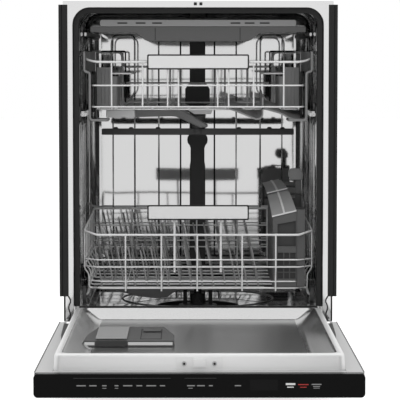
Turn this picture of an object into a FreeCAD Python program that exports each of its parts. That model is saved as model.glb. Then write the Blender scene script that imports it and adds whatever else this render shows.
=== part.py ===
import FreeCAD, Part
import math
import os

# Built-in dishwasher with its door open and its three racks inside.
# Millimetres. X to the right, Y into the cabinet, Z up, floor at Z = 0.
# Every piece is drawn with Y = 0 on the face of the tub flange, then moved so that
# the origin lies under the middle of the open machine.

# Sheet, clearances and fits
sheet = 1.5
running_gap = 0.3
pin_clearance = 0.05

# Tub
tub_half_width = 272.5
flange_rise = 14.0
tub_floor_z = 152.0
tub_depth = 545.0
tub_corner_radius = 37.0
flange_width = 21.0
flange_top_z = 850.0
rear_blanket = 25.0
ledge_z = 182.0
tub_lip_y = 24.0
ledge_width = 31.5
panel_width = 57.0
panel_inner_x = 39.5
panel_outer_x = 151.5
panel_top_drop = 51.0
panel_bottom_z = 238.0
panel_relief = 3.0
panel_corner = 12.0
gasket_width = 12.0
gasket_depth = 16.0
gasket_gap = 0.2
strike_slot_x = 6.0
strike_slot_half = 3.0
strike_slot_edge = 3.0
strike_half_width = 22.0

# Side trims, insulation and base
trim_overlap = 9.9
trim_wrap = 9.5
trim_bottom_z = 206.0
trim_top_drop = 8.0
trim_face = 3.0
trim_depth = 26.0
trim_groove = 1.5
trim_groove_offset = 12.0
blanket_thickness = 14.0
blanket_front_y = 30.0
base_side_reach = 12.5
base_front_y = 45.0
base_rear_reach = 15.0
base_bottom_z = 20.0
base_top_z = 150.0
base_wall = 2.0
base_ledge = 23.0
foot_radius = 18.0
foot_height = 8.0
foot_stem_radius = 5.0
foot_stem_top_z = 42.0
foot_collar_radius = 8.5
foot_inset_x = 30.0
foot_inset_y = 35.0
toe_side_reach = 17.5
toe_face_y = 33.0
toe_bottom_z = 12.0
toe_top_z = 104.0
toe_tab_half = 18.0

# Water system
sump_y = 285.0
sump_radius = 95.0
sump_wall = 3.0
sump_bottom_z = 62.0
sump_flange = 14.0
sump_base_radius = 62.0
pump_radius = 42.0
pump_length = 120.0
pump_neck_radius = 18.0
drain_pump_radius = 28.0
drain_pump_length = 70.0
drain_neck_rise = 34.0
pump_gap = 10.0
pump_cap_radius = 30.0
spigot_radius = 11.0
drain_pipe_radius = 9.0
inlet_radius = 13.0
inlet_side_gap = 70.0
inlet_half = 24.0
spigot_length = 22.0
spigot_z = 55.0
heater_ring_radius = 175.0
heater_tube_radius = 4.0
heater_z = 168.0
heater_clip_width = 8.0
heater_clip_angles = (-107, -73, 73, 107)
filter_radius = 42.0
filter_top_z = 166.0
filter_grip_height = 14.0
float_radius = 24.0
float_top_radius = 16.0
float_height = 18.0
float_stem_radius = 5.0
float_side_gap = 51.0
float_y = 60.0
conduit_half_width = 19.0
conduit_depth = 16.0
dock_half_width = 29.0
dock_bottom_rise = 1.0
dock_top_rise = 56.0
coupling_drop = 70.0
coupling_half_width = 24.5
coupling_band = 14.0
dock_bulge = 6.0
port_half_width = 18.0
port_drop = 23.0

# Spray arms
arm_width = 44.0
lower_arm_half = 225.0
lower_arm_z = 196.0
lower_arm_height = 14.0
mid_arm_half = 222.0
mid_arm_drop = 56.0
mid_arm_height = 14.0
ceiling_arm_half = 70.0
ceiling_arm_height = 8.0
arm_hub_radius = 24.0
arm_pin_radius = 9.0
ceiling_arm_y = 275.0
mid_arm_y = 275.0
lower_arm_tip = 26.0
mid_arm_tip = 24.0
ceiling_arm_tip = 20.0

# Door, drawn open; its own thickness runs along Z
pivot_y = -20.0
pivot_z = 142.0
door_side_reach = 30.5
door_top_rise = 12.0
door_outer_z = 107.0
door_inner_z = 151.0
door_foot_y = 4.0
control_depth = 18.0
control_wall = 2.5
control_corner = 8.0
rim_side_gap = 2.5
rim_ridge = 20.0
rim_top_z = 182.0
rim_front_gap = 40.0
rim_rear_y = -8.0
rim_rear_ridge = 5.0
rim_corner = 26.0
basin_floor_z = 155.0
liner_rear_y = -5.0
hinge_plate = 3.0
hinge_side_reach = 4.5
hinge_pin_radius = 4.0
hinge_notch_depth = 40.0
hinge_notch_side = 4.0
hinge_seat_y = 65.0
hinge_nose = 4.0
hinge_arm_front_y = -140.0
spring_case_width = 14.0
dispenser_side_gap = 42.0
dispenser_width = 179.0
dispenser_top_gap = 306.0
dispenser_length = 162.0
dispenser_height = 21.0
dispenser_chamfer = 24.0
lid_inset = 25.0
lid_width = 62.0
lid_front_inset = 54.0
lid_length = 84.0
lid_thickness = 5.0
lid_travel = 34.0
cap_inset = 134.0
cap_front_inset = 108.0
cap_side = 36.0
cap_height = 6.0
cap_pin_radius = 10.0
latch_half_width = 12.0
latch_z0 = 158.0
latch_z1 = 172.0
latch_reach = 6.0
latch_screw_half_spacing = 28.0
latch_screw_radius = 4.5
latch_screw_z = 164.0
seal_width = 5.0
seal_height = 8.0
board_half_width = 200.0
board_margin = 9.0
board_post = 4.0
board_post_radius = 3.0
pocket_half_width = 120.0
pocket_top_gap = 40.0
pocket_length = 50.0
pocket_depth = 24.0

# Wire
wire = 4.0

# Lower rack
lower_side_gap = 26.5
lower_front_y = 30.0
lower_rear_gap = 27.0
lower_floor_z = 218.0
lower_front_top_z = 338.0
lower_rear_top_z = 361.0
lower_pitch = 38.0
lower_columns = (-160.0, -81.0, -2.0, 97.0, 171.0)
lower_front_rows = (234.0, 267.0, 283.0)
lower_side_rows = (255.0, 290.0)
wheel_radius = 18.0
wheel_width = 8.0
wheel_side_gap = 22.5
wheel_axle_radius = 4.0
wheel_front_y = 95.0
wheel_rear_gap = 63.0
lower_handle_half = 112.0
lower_handle_z0 = 372.0
lower_handle_z1 = 404.0
handle_depth = 9.0
handle_inset = 2.0
handle_border = 4.0
handle_post_x = 51.0
handle_corner = 8.0
tine_wire = 3.5
tine_pitch = 27.0
tine_height = 78.0
tine_lean = 14.0
fixed_tine_xs = (-40.0, 60.0)
folding_tine_xs = (-190.0, -115.0)
tine_front_y = 80.0
tine_count = 14
tine_base_gap = 0.8
basket_width = 71.0
basket_side_gap = 10.0
basket_front_y = 42.0
basket_rear_y = 345.0
basket_front_drop = 169.0
basket_wall = 2.5
basket_bar = 6.0
basket_pitch = 32.0
basket_lid_gap = 19.0
basket_rear_drop = 110.0
basket_handle_drop = 74.0
basket_handle_width = 12.0
basket_grip_width = 36.0
basket_grip_depth = 12.0
basket_grip_height = 28.0
basket_lid_thickness = 3.0

# Upper rack
upper_side_gap = 37.5
upper_front_y = 40.0
upper_rear_gap = 33.0
upper_floor_drop = 230.0
upper_wall_drop = 16.0
upper_columns = (-190.0, -122.0, -67.0, -43.0, 43.0, 67.0, 122.0, 188.0)
upper_row_rises = (15.5, 60.5)
upper_height = 114.0
upper_pitch = 40.0
upper_handle_half = 110.0
upper_handle_rise = 96.0
upper_handle_height = 32.0
rail_side_gap = 23.5
rail_width = 8.0
rail_drop = 8.0
rail_height = 12.0
rail_front_y = 44.0
rail_rear_gap = 11.0
adjuster_width = 9.0
adjuster_front_y = 150.0
adjuster_rear_y = 410.0
adjuster_height = 132.0
adjuster_roller = 6.0
adjuster_corner = 5.0
adjuster_inset = 40.0
roller_radius = 9.0
roller_front_y = 60.0
roller_spacing_y = 90.0
manifold_height = 17.0
manifold_width = 36.0
manifold_x0 = -205.0
branch_corner = 14.0
shelf_rise = 84.0
shelf_reach = 82.0
shelf_front_y = 130.0
shelf_length = 250.0
shelf_hinge_gap = 0.9

# Third rack
third_side_gap = 37.5
third_front_y = 44.0
third_rear_gap = 45.0
third_floor_drop = 70.0
third_side_height = 28.0
third_pitch = 34.0
fascia_side_rise = 16.0
fascia_drop = 3.0
fascia_drop_half = 110.0
fascia_top_rise = 30.0
fascia_depth = 8.0
fascia_shoulder = 19.0
trim_strip_inset = 20.0
trim_strip_rise = 14.0
trim_strip_corner = 5.0
third_runner_rise = 8.0
third_runner_height = 8.0

# Counter brackets and services
bracket_hole_half_spacing = 200.0
bracket_hole_radius = 2.5
bracket_half_width = 20.0
bracket_hole_y = 20.0
bracket_drop = 1.0
junction_x0 = 120.0
junction_width = 70.0
junction_depth = 60.0
junction_height = 56.0
gland_radius = 11.1

# Places that follow from the sizes above
tub_ceiling_z = flange_top_z - flange_rise
panel_top_z = tub_ceiling_z - panel_top_drop
trim_top_z = flange_top_z - trim_top_drop
third_floor_z = tub_ceiling_z - third_floor_drop
third_side_top_z = third_floor_z + third_side_height
third_runner_z0 = third_floor_z + third_runner_rise
fascia_side_z = third_floor_z + fascia_side_rise
fascia_drop_z = third_floor_z - fascia_drop
fascia_top_z = third_floor_z + fascia_top_rise
trim_strip_top_z = fascia_top_z + trim_strip_rise
upper_floor_z = tub_ceiling_z - upper_floor_drop
upper_wall_bottom_z = upper_floor_z - upper_wall_drop
upper_rows = tuple(upper_floor_z + rise for rise in upper_row_rises)
upper_top_z = upper_floor_z + upper_height
upper_handle_z0 = upper_floor_z + upper_handle_rise
upper_handle_z1 = upper_handle_z0 + upper_handle_height
rail_z0 = upper_floor_z - rail_drop
adjuster_top_z = upper_floor_z + adjuster_height
shelf_z = upper_floor_z + shelf_rise
dock_bottom_z = upper_floor_z + dock_bottom_rise
dock_top_z = upper_floor_z + dock_top_rise
coupling_z = upper_floor_z - coupling_drop
port_bottom_z = upper_floor_z - port_drop
mid_arm_z = upper_floor_z - mid_arm_drop
basket_top_z = mid_arm_z - basket_front_drop
basket_rear_top_z = mid_arm_z - basket_rear_drop
basket_handle_top_z = mid_arm_z - basket_handle_drop
door_reach = flange_top_z + door_top_rise - pivot_z - pivot_y
flange_half_width = tub_half_width + flange_width
machine_depth = tub_depth + rear_blanket
ledge_inner_half = tub_half_width - ledge_width
trim_inner_half = flange_half_width - trim_overlap
trim_outer_half = flange_half_width + trim_wrap
base_half_width = tub_half_width + base_side_reach
base_rear_y = tub_depth + base_rear_reach
inlet_x = inlet_side_gap - base_half_width
toe_half_width = tub_half_width + toe_side_reach
float_x = ledge_inner_half - float_side_gap
door_half_width = tub_half_width + door_side_reach
rim_half_width = tub_half_width - rim_side_gap
hinge_x = tub_half_width + hinge_side_reach
dispenser_x0 = dispenser_side_gap - rim_half_width
dispenser_x1 = dispenser_x0 + dispenser_width
dispenser_y0 = dispenser_top_gap - door_reach
dispenser_y1 = dispenser_y0 + dispenser_length
lid_y0 = dispenser_y0 + lid_front_inset
cap_y = dispenser_y0 + cap_front_inset
pocket_y0 = pocket_top_gap - door_reach
pocket_y1 = pocket_y0 + pocket_length
lid_x0 = dispenser_x0 + lid_inset
cap_x = dispenser_x0 + cap_inset
lower_half_width = tub_half_width - lower_side_gap
lower_rear_y = tub_depth - lower_rear_gap
wheel_inner_x = tub_half_width - wheel_side_gap
wheel_rear_y = lower_rear_y - wheel_rear_gap
basket_x1 = lower_half_width - basket_side_gap
basket_x0 = basket_x1 - basket_width
upper_half_width = tub_half_width - upper_side_gap
upper_rear_y = tub_depth - upper_rear_gap
rail_inner_x = tub_half_width - rail_side_gap
rail_rear_y = tub_depth - rail_rear_gap
third_half_width = tub_half_width - third_side_gap
third_rear_y = tub_depth - third_rear_gap
trim_strip_half = third_half_width - trim_strip_inset
origin_y = (door_reach - machine_depth) / 2
control_rear_y = control_depth - door_reach
rim_front_y = rim_front_gap - door_reach
rim_closed_y = pivot_y + rim_top_z - pivot_z


def vec(x, y, z):
    return FreeCAD.Vector(x, y, z)


def box(x0, x1, y0, y1, z0, z1):
    return Part.makeBox(x1 - x0, y1 - y0, z1 - z0, vec(x0, y0, z0))


def rod(radius, start, end):
    """Round bar between two points."""
    axis = end - start
    return Part.makeCylinder(radius, axis.Length, start, axis)


def upright(radius, x, y, z0, z1):
    return rod(radius, vec(x, y, z0), vec(x, y, z1))


def mirrored(shape):
    return shape.mirror(vec(0, 0, 0), vec(1, 0, 0))


def pair(shape):
    """A right-hand piece and its left-hand twin."""
    return [shape, mirrored(shape)]


def fused(first, *others):
    return first.multiFuse(list(others)).removeSplitter()


def at(plane, level, u, v):
    """Point at (u, v) on the plane square to the named axis."""
    if plane == "x":
        return vec(level, u, v)
    if plane == "y":
        return vec(u, level, v)
    return vec(u, v, level)


def outline(plane, level, points):
    corners = [at(plane, level, u, v) for u, v in points]
    return Part.makePolygon(corners + corners[:1])


def rectangle(plane, level, u0, u1, v0, v1):
    return outline(plane, level, [(u0, v0), (u1, v0), (u1, v1), (u0, v1)])


def raised(plane, level0, level1, wires):
    """Solid between two levels; the first wire is the outside and the rest are holes."""
    face = Part.makeFace(wires, "Part::FaceMakerBullseye")
    return face.extrude(at(plane, level1 - level0, 0, 0))


def prism(plane, level0, level1, points):
    return raised(plane, level0, level1, [outline(plane, level0, points)])


def rounded(plane, level, u0, u1, v0, v1, radius):
    """Rectangle wire with round corners."""
    diagonal = radius * (1 - math.sqrt(0.5))
    runs = [
        ((u0 + radius, v0), (u1 - radius, v0), (u1 - diagonal, v0 + diagonal)),
        ((u1, v0 + radius), (u1, v1 - radius), (u1 - diagonal, v1 - diagonal)),
        ((u1 - radius, v1), (u0 + radius, v1), (u0 + diagonal, v1 - diagonal)),
        ((u0, v1 - radius), (u0, v0 + radius), (u0 + diagonal, v0 + diagonal)),
    ]
    edges = []
    for index, (start, end, middle) in enumerate(runs):
        following = runs[(index + 1) % len(runs)][0]
        edges.append(Part.makeLine(at(plane, level, *start), at(plane, level, *end)))
        arc = Part.Arc(at(plane, level, *end), at(plane, level, *middle), at(plane, level, *following))
        edges.append(arc.toShape())
    return Part.Wire(edges)


def slab(plane, level0, level1, u0, u1, v0, v1, radius):
    """Plate with round corners."""
    return raised(plane, level0, level1, [rounded(plane, level0, u0, u1, v0, v1, radius)])


def spread(start, end, pitch):
    """Evenly spaced places from start to end, as near to the pitch as fits."""
    count = max(1, round((end - start) / pitch))
    return [start + (end - start) * index / count for index in range(count + 1)]


def wire_grid(plane, level, us, vs, bar=wire, depth=wire):
    """Flat welded grid of square wires centred on the given lines."""
    half = bar / 2
    wires = [rectangle(plane, level, us[0] - half, us[-1] + half, vs[0] - half, vs[-1] + half)]
    for u0, u1 in zip(us, us[1:]):
        for v0, v1 in zip(vs, vs[1:]):
            wires.append(rectangle(plane, level, u0 + half, u1 - half, v0 + half, v1 - half))
    return raised(plane, level, level + depth, wires)


def arch(half_width, bottom_z, top_z, radius, y0, y1):
    """Solid under a flat arch with round upper corners."""
    diagonal = radius * (1 - math.sqrt(0.5))
    left_end = vec(-half_width, y0, top_z - radius)
    left_top = vec(-half_width + radius, y0, top_z)
    right_top = vec(half_width - radius, y0, top_z)
    right_end = vec(half_width, y0, top_z - radius)
    left_arc = Part.Arc(left_end, vec(-half_width + diagonal, y0, top_z - diagonal), left_top)
    right_arc = Part.Arc(right_top, vec(half_width - diagonal, y0, top_z - diagonal), right_end)
    edges = [
        Part.makeLine(vec(-half_width, y0, bottom_z), left_end),
        left_arc.toShape(),
        Part.makeLine(left_top, right_top),
        right_arc.toShape(),
        Part.makeLine(right_end, vec(half_width, y0, bottom_z)),
        Part.makeLine(vec(half_width, y0, bottom_z), vec(-half_width, y0, bottom_z)),
    ]
    return Part.Face(Part.Wire(edges)).extrude(vec(0, y1 - y0, 0))


def keep(name, *solids):
    """Move the solids of one piece to the part's frame and write them."""
    moved = []
    for solid in solids:
        copy = solid.copy()
        copy.translate(vec(0, origin_y, 0))
        moved.extend(copy.Solids)
    shape = moved[0] if len(moved) == 1 else Part.makeCompound(moved)
    shape.exportStep(os.path.join("parts", name + ".step"))


# Cabinet

def tub_wrapper():
    wall_half = tub_half_width + sheet
    roof_z = tub_ceiling_z + sheet
    floor_z = base_top_z
    shell = arch(wall_half, floor_z, roof_z, tub_corner_radius + sheet, 0, tub_depth)
    flange = box(-flange_half_width, flange_half_width, 0, sheet, floor_z, flange_top_z)
    body = fused(shell, flange)
    body = body.cut(arch(tub_half_width, floor_z - sheet, tub_ceiling_z, tub_corner_radius, -sheet,
                         tub_depth + sheet))
    for side in (-1, 1):
        slot_x = side * strike_slot_x
        slot = box(slot_x - strike_slot_half, slot_x + strike_slot_half, -sheet, 2 * sheet,
                   roof_z + strike_slot_edge, flange_top_z - strike_slot_edge)
        body = body.cut(slot)
    return body


def tub_back_panel():
    half = tub_half_width + sheet
    top_z = tub_ceiling_z + sheet
    plate = arch(half, base_top_z, top_z, tub_corner_radius + sheet, tub_depth, tub_depth + sheet)
    panels = []
    for x0 in (panel_inner_x, panel_outer_x):
        panel = slab("y", tub_depth - panel_relief, tub_depth, x0, x0 + panel_width,
                     panel_bottom_z, panel_top_z, panel_corner)
        panels.extend(pair(panel))
    return fused(plate, *panels)


def tub_floor():
    under_z = tub_floor_z - sheet
    right = [
        (ledge_inner_half, tub_floor_z),
        (ledge_inner_half, ledge_z),
        (tub_half_width, ledge_z),
        (tub_half_width, ledge_z - sheet),
        (ledge_inner_half + sheet, ledge_z - sheet),
        (ledge_inner_half + sheet, under_z),
    ]
    left = [(-x, z) for x, z in reversed(right)]
    pan = prism("y", tub_lip_y, tub_depth, right + left)
    front_wall = box(-ledge_inner_half, ledge_inner_half, tub_lip_y, tub_lip_y + sheet, under_z, ledge_z)
    hole = rod(sump_radius, vec(0, sump_y, under_z - sheet), vec(0, sump_y, tub_floor_z + sheet))
    float_hole = rod(float_stem_radius + running_gap, vec(float_x, float_y, under_z - sheet),
                     vec(float_x, float_y, tub_floor_z + sheet))
    return fused(pan, front_wall).cut(hole).cut(float_hole)


def door_gasket():
    outer_half = tub_half_width - gasket_gap
    inner_half = outer_half - gasket_width
    top_z = tub_ceiling_z - gasket_gap
    y0 = rim_closed_y + running_gap
    y1 = y0 + gasket_depth
    bottom_z = ledge_z + gasket_gap
    radius = tub_corner_radius - gasket_gap
    outside = arch(outer_half, bottom_z, top_z, radius, y0, y1)
    inside = arch(inner_half, bottom_z - sheet, top_z - gasket_width, radius - gasket_width, y0 - sheet,
                  y1 + sheet)
    return outside.cut(inside)


def side_trim():
    """Ribbed strip clipped over the right-hand edge of the flange."""
    gap_half = flange_half_width + gasket_gap
    points = [
        (trim_inner_half, 0),
        (trim_inner_half, -trim_face),
        (trim_outer_half, -trim_face),
        (trim_outer_half, trim_depth),
        (gap_half, trim_depth),
        (gap_half, 0),
    ]
    strip = prism("z", trim_bottom_z, trim_top_z, points)
    groove_x = trim_inner_half + trim_groove_offset
    groove = box(groove_x, groove_x + trim_groove, -trim_face - sheet, -trim_face + trim_groove,
                 trim_bottom_z - sheet, trim_top_z + sheet)
    return strip.cut(groove)


def tub_insulation():
    inner_half = tub_half_width + sheet + gasket_gap
    outer_half = inner_half + blanket_thickness
    roof_z = tub_ceiling_z + sheet + gasket_gap
    top_z = flange_top_z - gasket_gap
    inner_radius = tub_corner_radius + sheet + gasket_gap
    outer_radius = inner_radius + top_z - roof_z
    outside = arch(outer_half, base_top_z, top_z, outer_radius, blanket_front_y, tub_depth)
    inside = arch(inner_half, base_top_z - sheet, roof_z, inner_radius, blanket_front_y - sheet,
                  tub_depth + sheet)
    blanket = outside.cut(inside)
    back = arch(outer_half, base_top_z, top_z, outer_radius, tub_depth + sheet, machine_depth)
    return [blanket, back]


def base_frame():
    floor_z = base_bottom_z + base_wall
    lip_z = base_top_z - base_wall
    wall_half = base_half_width - base_wall
    lip_half = base_half_width - base_ledge
    right = [
        (base_half_width, base_bottom_z),
        (base_half_width, base_top_z),
        (lip_half, base_top_z),
        (lip_half, lip_z),
        (wall_half, lip_z),
        (wall_half, floor_z),
    ]
    left = [(-x, z) for x, z in reversed(right)]
    tray = prism("y", base_front_y, base_rear_y, right + left)
    for x, y in foot_places():
        tray = tray.cut(rod(foot_stem_radius + pin_clearance, vec(x, y, 0), vec(x, y, base_top_z / 2)))
    return tray


def foot_places():
    x = base_half_width - foot_inset_x
    return [(side * x, y) for side in (-1, 1) for y in (base_front_y + foot_inset_y,
                                                        base_rear_y - foot_inset_y)]


def leveling_feet():
    feet = []
    for x, y in foot_places():
        pad = rod(foot_radius, vec(x, y, 0), vec(x, y, foot_height))
        collar = rod(foot_collar_radius, vec(x, y, foot_height), vec(x, y, base_bottom_z))
        stem = rod(foot_stem_radius, vec(x, y, foot_height), vec(x, y, foot_stem_top_z))
        feet.append(fused(pad, collar, stem))
    return feet


def toe_panel():
    face = box(-toe_half_width, toe_half_width, toe_face_y, toe_face_y + base_wall, toe_bottom_z, toe_top_z)
    tabs = []
    for side in (-1, 1):
        x = side * (base_half_width - base_ledge)
        tabs.append(box(x - toe_tab_half, x + toe_tab_half, toe_face_y + base_wall, base_front_y,
                        base_bottom_z, base_bottom_z + base_wall))
    return fused(face, *tabs)


def sump():
    under_z = tub_floor_z - sheet
    inner = sump_radius - sump_wall
    points = [
        (0, sump_bottom_z),
        (sump_base_radius, sump_bottom_z),
        (sump_radius, under_z - sump_wall),
        (sump_radius + sump_flange, under_z - sump_wall),
        (sump_radius + sump_flange, under_z),
        (inner, under_z),
        (sump_base_radius - sump_wall, sump_bottom_z + sump_wall),
        (0, sump_bottom_z + sump_wall),
    ]
    profile = Part.Face(outline("y", 0, points))
    bowl = profile.revolve(vec(0, 0, 0), vec(0, 0, 1), 360)
    bowl.translate(vec(0, sump_y, 0))
    post = upright(arm_pin_radius, 0, sump_y, sump_bottom_z + sump_wall, lower_arm_z + lower_arm_height)
    return fused(bowl, post)


def circulation_pump():
    """Pump lying across the base, fed from the sump by a short neck."""
    z = base_bottom_z + base_wall + pump_radius
    x0 = sump_radius + sump_flange + pump_gap
    body = rod(pump_radius, vec(x0, sump_y, z), vec(x0 + pump_length, sump_y, z))
    cap = rod(pump_cap_radius, vec(x0 + pump_length, sump_y, z),
              vec(x0 + pump_length + pump_gap, sump_y, z))
    neck_x = sump_base_radius
    neck = rod(pump_neck_radius, vec(neck_x, sump_y, z), vec(x0, sump_y, z))
    return fused(body, cap, neck).cut(sump_envelope())


def sump_envelope():
    """Outside of the sump bowl, for the pieces that seat against it."""
    under_z = tub_floor_z - sheet
    inner = sump_radius - sump_wall
    points = [
        (0, sump_bottom_z),
        (sump_base_radius, sump_bottom_z),
        (sump_radius, under_z - sump_wall),
        (0, under_z - sump_wall),
    ]
    solid = Part.Face(outline("y", 0, points)).revolve(vec(0, 0, 0), vec(0, 0, 1), 360)
    solid.translate(vec(0, sump_y, 0))
    return solid


def drain_pump():
    """Small pump on the left of the sump, with a pipe to its outlet spigot at the rear."""
    z = base_bottom_z + base_wall + drain_pump_radius
    x1 = -sump_radius - sump_flange - pump_gap
    x0 = x1 - drain_pump_length
    body = rod(drain_pump_radius, vec(x0, sump_y, z), vec(x1, sump_y, z))
    neck = rod(spigot_radius, vec(x1, sump_y, z), vec(-sump_base_radius, sump_y, z + drain_neck_rise))
    outlet_x = x0 + drain_pump_length / 2
    spigot_y = base_rear_y - spigot_length
    pipe = rod(drain_pipe_radius, vec(outlet_x, sump_y, z), vec(outlet_x, spigot_y, z))
    spigot = rod(spigot_radius, vec(outlet_x, spigot_y, z), vec(outlet_x, base_rear_y, z))
    return fused(body, neck, pipe, spigot).cut(sump_envelope())


def inlet_valve():
    floor_z = base_bottom_z + base_wall
    y1 = base_rear_y - spigot_length
    y0 = y1 - 2 * inlet_half
    top_z = spigot_z + inlet_half
    body = box(inlet_x - inlet_half, inlet_x + inlet_half, y0, y1, floor_z, top_z)
    coil = upright(inlet_radius, inlet_x, y0 + inlet_half, top_z, top_z + spigot_length)
    spigot = rod(inlet_radius, vec(inlet_x, y1, spigot_z), vec(inlet_x, base_rear_y, spigot_z))
    return fused(body, coil, spigot)


def junction_box():
    """Open-fronted steel box with a hole in its rear wall for the supply cable."""
    floor_z = base_bottom_z + base_wall
    y1 = base_rear_y
    y0 = y1 - junction_depth
    outer = box(junction_x0, junction_x0 + junction_width, y0, y1, floor_z, floor_z + junction_height)
    inner = box(junction_x0 + base_wall, junction_x0 + junction_width - base_wall, y0 - base_wall,
                y1 - base_wall,
                floor_z + base_wall, floor_z + junction_height - base_wall)
    centre_x = junction_x0 + junction_width / 2
    centre_z = floor_z + junction_height / 2
    hole_start = vec(centre_x, y1 - 2 * base_wall, centre_z)
    hole = rod(gland_radius, hole_start, vec(centre_x, y1 + base_wall, centre_z))
    return outer.cut(inner).cut(hole)


def heater_element():
    ring = Part.makeTorus(heater_ring_radius, heater_tube_radius, vec(0, sump_y, heater_z), vec(0, 0, 1))
    clips = []
    for angle in heater_clip_angles:
        x = heater_ring_radius * math.cos(math.radians(angle))
        y = sump_y + heater_ring_radius * math.sin(math.radians(angle))
        half = heater_clip_width / 2
        clips.append(box(x - half, x + half, y - half, y + half, tub_floor_z, heater_z))
    return fused(ring, *clips)


def dock_front_y():
    return tub_depth - panel_relief - conduit_depth - dock_bulge


def feed_conduit():
    """Duct that climbs the back wall and feeds the upper arm and the ceiling rotor."""
    y1 = tub_depth - panel_relief
    y0 = y1 - conduit_depth
    top_z = tub_ceiling_z - gasket_gap
    lower = box(-conduit_half_width, conduit_half_width, y0, y1, tub_floor_z, coupling_z)
    coupling = box(-coupling_half_width, coupling_half_width, y0 - sheet, y1, coupling_z - coupling_band,
                   coupling_z)
    upper = box(-conduit_half_width, conduit_half_width, y0, y1, coupling_z, top_z)
    dock = box(-dock_half_width, dock_half_width, dock_front_y(), y1, dock_bottom_z, dock_top_z)
    port = box(-port_half_width, port_half_width, dock_front_y(), y0, port_bottom_z, dock_bottom_z)
    roof_z = top_z - conduit_depth
    roof = box(-conduit_half_width, conduit_half_width, ceiling_arm_y - conduit_half_width, y1, roof_z,
               top_z)
    pin = rod(arm_pin_radius, vec(0, ceiling_arm_y, roof_z), vec(0, ceiling_arm_y,
                                                                 roof_z - ceiling_arm_height - sheet))
    cap = rod(arm_pin_radius + sheet, vec(0, ceiling_arm_y, roof_z - ceiling_arm_height - sheet),
              vec(0, ceiling_arm_y, roof_z - ceiling_arm_height - 2 * sheet))
    return fused(lower, coupling, upper, dock, port, roof, pin, cap)


def hinge_bracket():
    """Right-hand bracket that stands in the base and reaches forward to the pivot."""
    floor_z = base_bottom_z + base_wall
    lip_z = base_top_z - base_wall
    nose_y = pivot_y - hinge_pin_radius - hinge_nose
    points = [
        (base_front_y, floor_z),
        (base_front_y + hinge_seat_y, floor_z),
        (base_front_y + hinge_seat_y, lip_z),
        (nose_y, lip_z),
        (nose_y, pivot_z - hinge_pin_radius - hinge_nose),
        (base_front_y, pivot_z - hinge_pin_radius - hinge_nose),
    ]
    plate = prism("x", hinge_x, hinge_x + hinge_plate, points)
    bore = rod(hinge_pin_radius + pin_clearance, vec(hinge_x - sheet, pivot_y, pivot_z),
               vec(hinge_x + hinge_plate + sheet, pivot_y, pivot_z))
    spring_case = box(hinge_x - spring_case_width, hinge_x, base_front_y + base_wall,
                      base_front_y + hinge_seat_y, floor_z, lip_z - base_ledge)
    return fused(plate, spring_case).cut(bore)


def counter_brackets():
    tabs = []
    for side in (-1, 1):
        x = side * bracket_hole_half_spacing
        tab = box(x - bracket_half_width, x + bracket_half_width, sheet, blanket_front_y - sheet,
                  flange_top_z - sheet - bracket_drop, flange_top_z - bracket_drop)
        hole = upright(bracket_hole_radius, x, bracket_hole_y, tub_ceiling_z, flange_top_z + sheet)
        tabs.append(tab.cut(hole))
    return tabs


def roller_bracket(z, rail_height_here):
    """Right-hand wall plate with a roller above and below a rail."""
    x0 = rail_inner_x + rail_width / 2 + running_gap
    x1 = rail_inner_x + rail_width
    length = roller_spacing_y + 4 * roller_radius
    y0 = roller_front_y - 2 * roller_radius
    centre = z + rail_height_here / 2
    reach = rail_height_here / 2 + running_gap + roller_radius
    plate = box(x1 + sheet, tub_half_width, y0, y0 + length, centre - reach, centre + reach)
    rollers = []
    for y in (roller_front_y, roller_front_y + roller_spacing_y):
        for side in (-1, 1):
            z_roller = centre + side * reach
            rollers.append(rod(roller_radius, vec(x0, y, z_roller), vec(x1, y, z_roller)))
            rollers.append(rod(roller_radius / 3, vec(x1, y, z_roller), vec(x1 + 2 * sheet, y, z_roller)))
    return fused(plate, *rollers)


def latch_strike():
    z0 = tub_ceiling_z + sheet
    return box(-strike_half_width, strike_half_width, sheet, 2 * sheet, z0, flange_top_z - gasket_gap)


def filter_cylinder():
    """Twist-out filter with a bar grip, standing in the sump round the arm post."""
    body = upright(filter_radius, 0, sump_y, sump_bottom_z + sump_wall + running_gap, filter_top_z)
    bore = upright(arm_pin_radius + running_gap, 0, sump_y, sump_bottom_z, filter_top_z + filter_grip_height)
    hollow_z = sump_bottom_z + 2 * sump_wall
    hollow = upright(filter_radius - sump_wall, 0, sump_y, hollow_z, filter_top_z - sump_wall)
    grip = box(-filter_radius, filter_radius, sump_y - sump_wall, sump_y + sump_wall, filter_top_z,
               filter_top_z + filter_grip_height)
    rim = rod(filter_radius + sump_wall, vec(0, sump_y, filter_top_z - sump_wall), vec(0, sump_y, filter_top_z))
    return fused(body.cut(hollow), rim, grip).cut(bore)


def overflow_float():
    foot_z = tub_floor_z + running_gap
    dome = Part.makeCone(float_radius, float_top_radius, float_height, vec(float_x, float_y, foot_z))
    stem = upright(float_stem_radius, float_x, float_y, tub_floor_z - float_height, foot_z)
    return fused(dome, stem)


def spray_arm(half_length, z, height, tip_width):
    """Two tapered blades round a hub, bored for its pin and set with jet bumps."""
    tip = tip_width / 2
    root = arm_width / 2
    points = [(-half_length, -tip), (0, -root), (half_length, -tip), (half_length, tip), (0, root),
              (-half_length, tip)]
    blade = prism("z", z, z + height, points)
    hub = rod(arm_hub_radius, vec(0, 0, z), vec(0, 0, z + height))
    bore = rod(arm_pin_radius + pin_clearance, vec(0, 0, z - height), vec(0, 0, z + 2 * height))
    return fused(blade, hub).cut(bore)


def lower_spray_arm():
    arm = spray_arm(lower_arm_half, lower_arm_z, lower_arm_height, lower_arm_tip)
    arm.translate(vec(0, sump_y, 0))
    return arm


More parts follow.
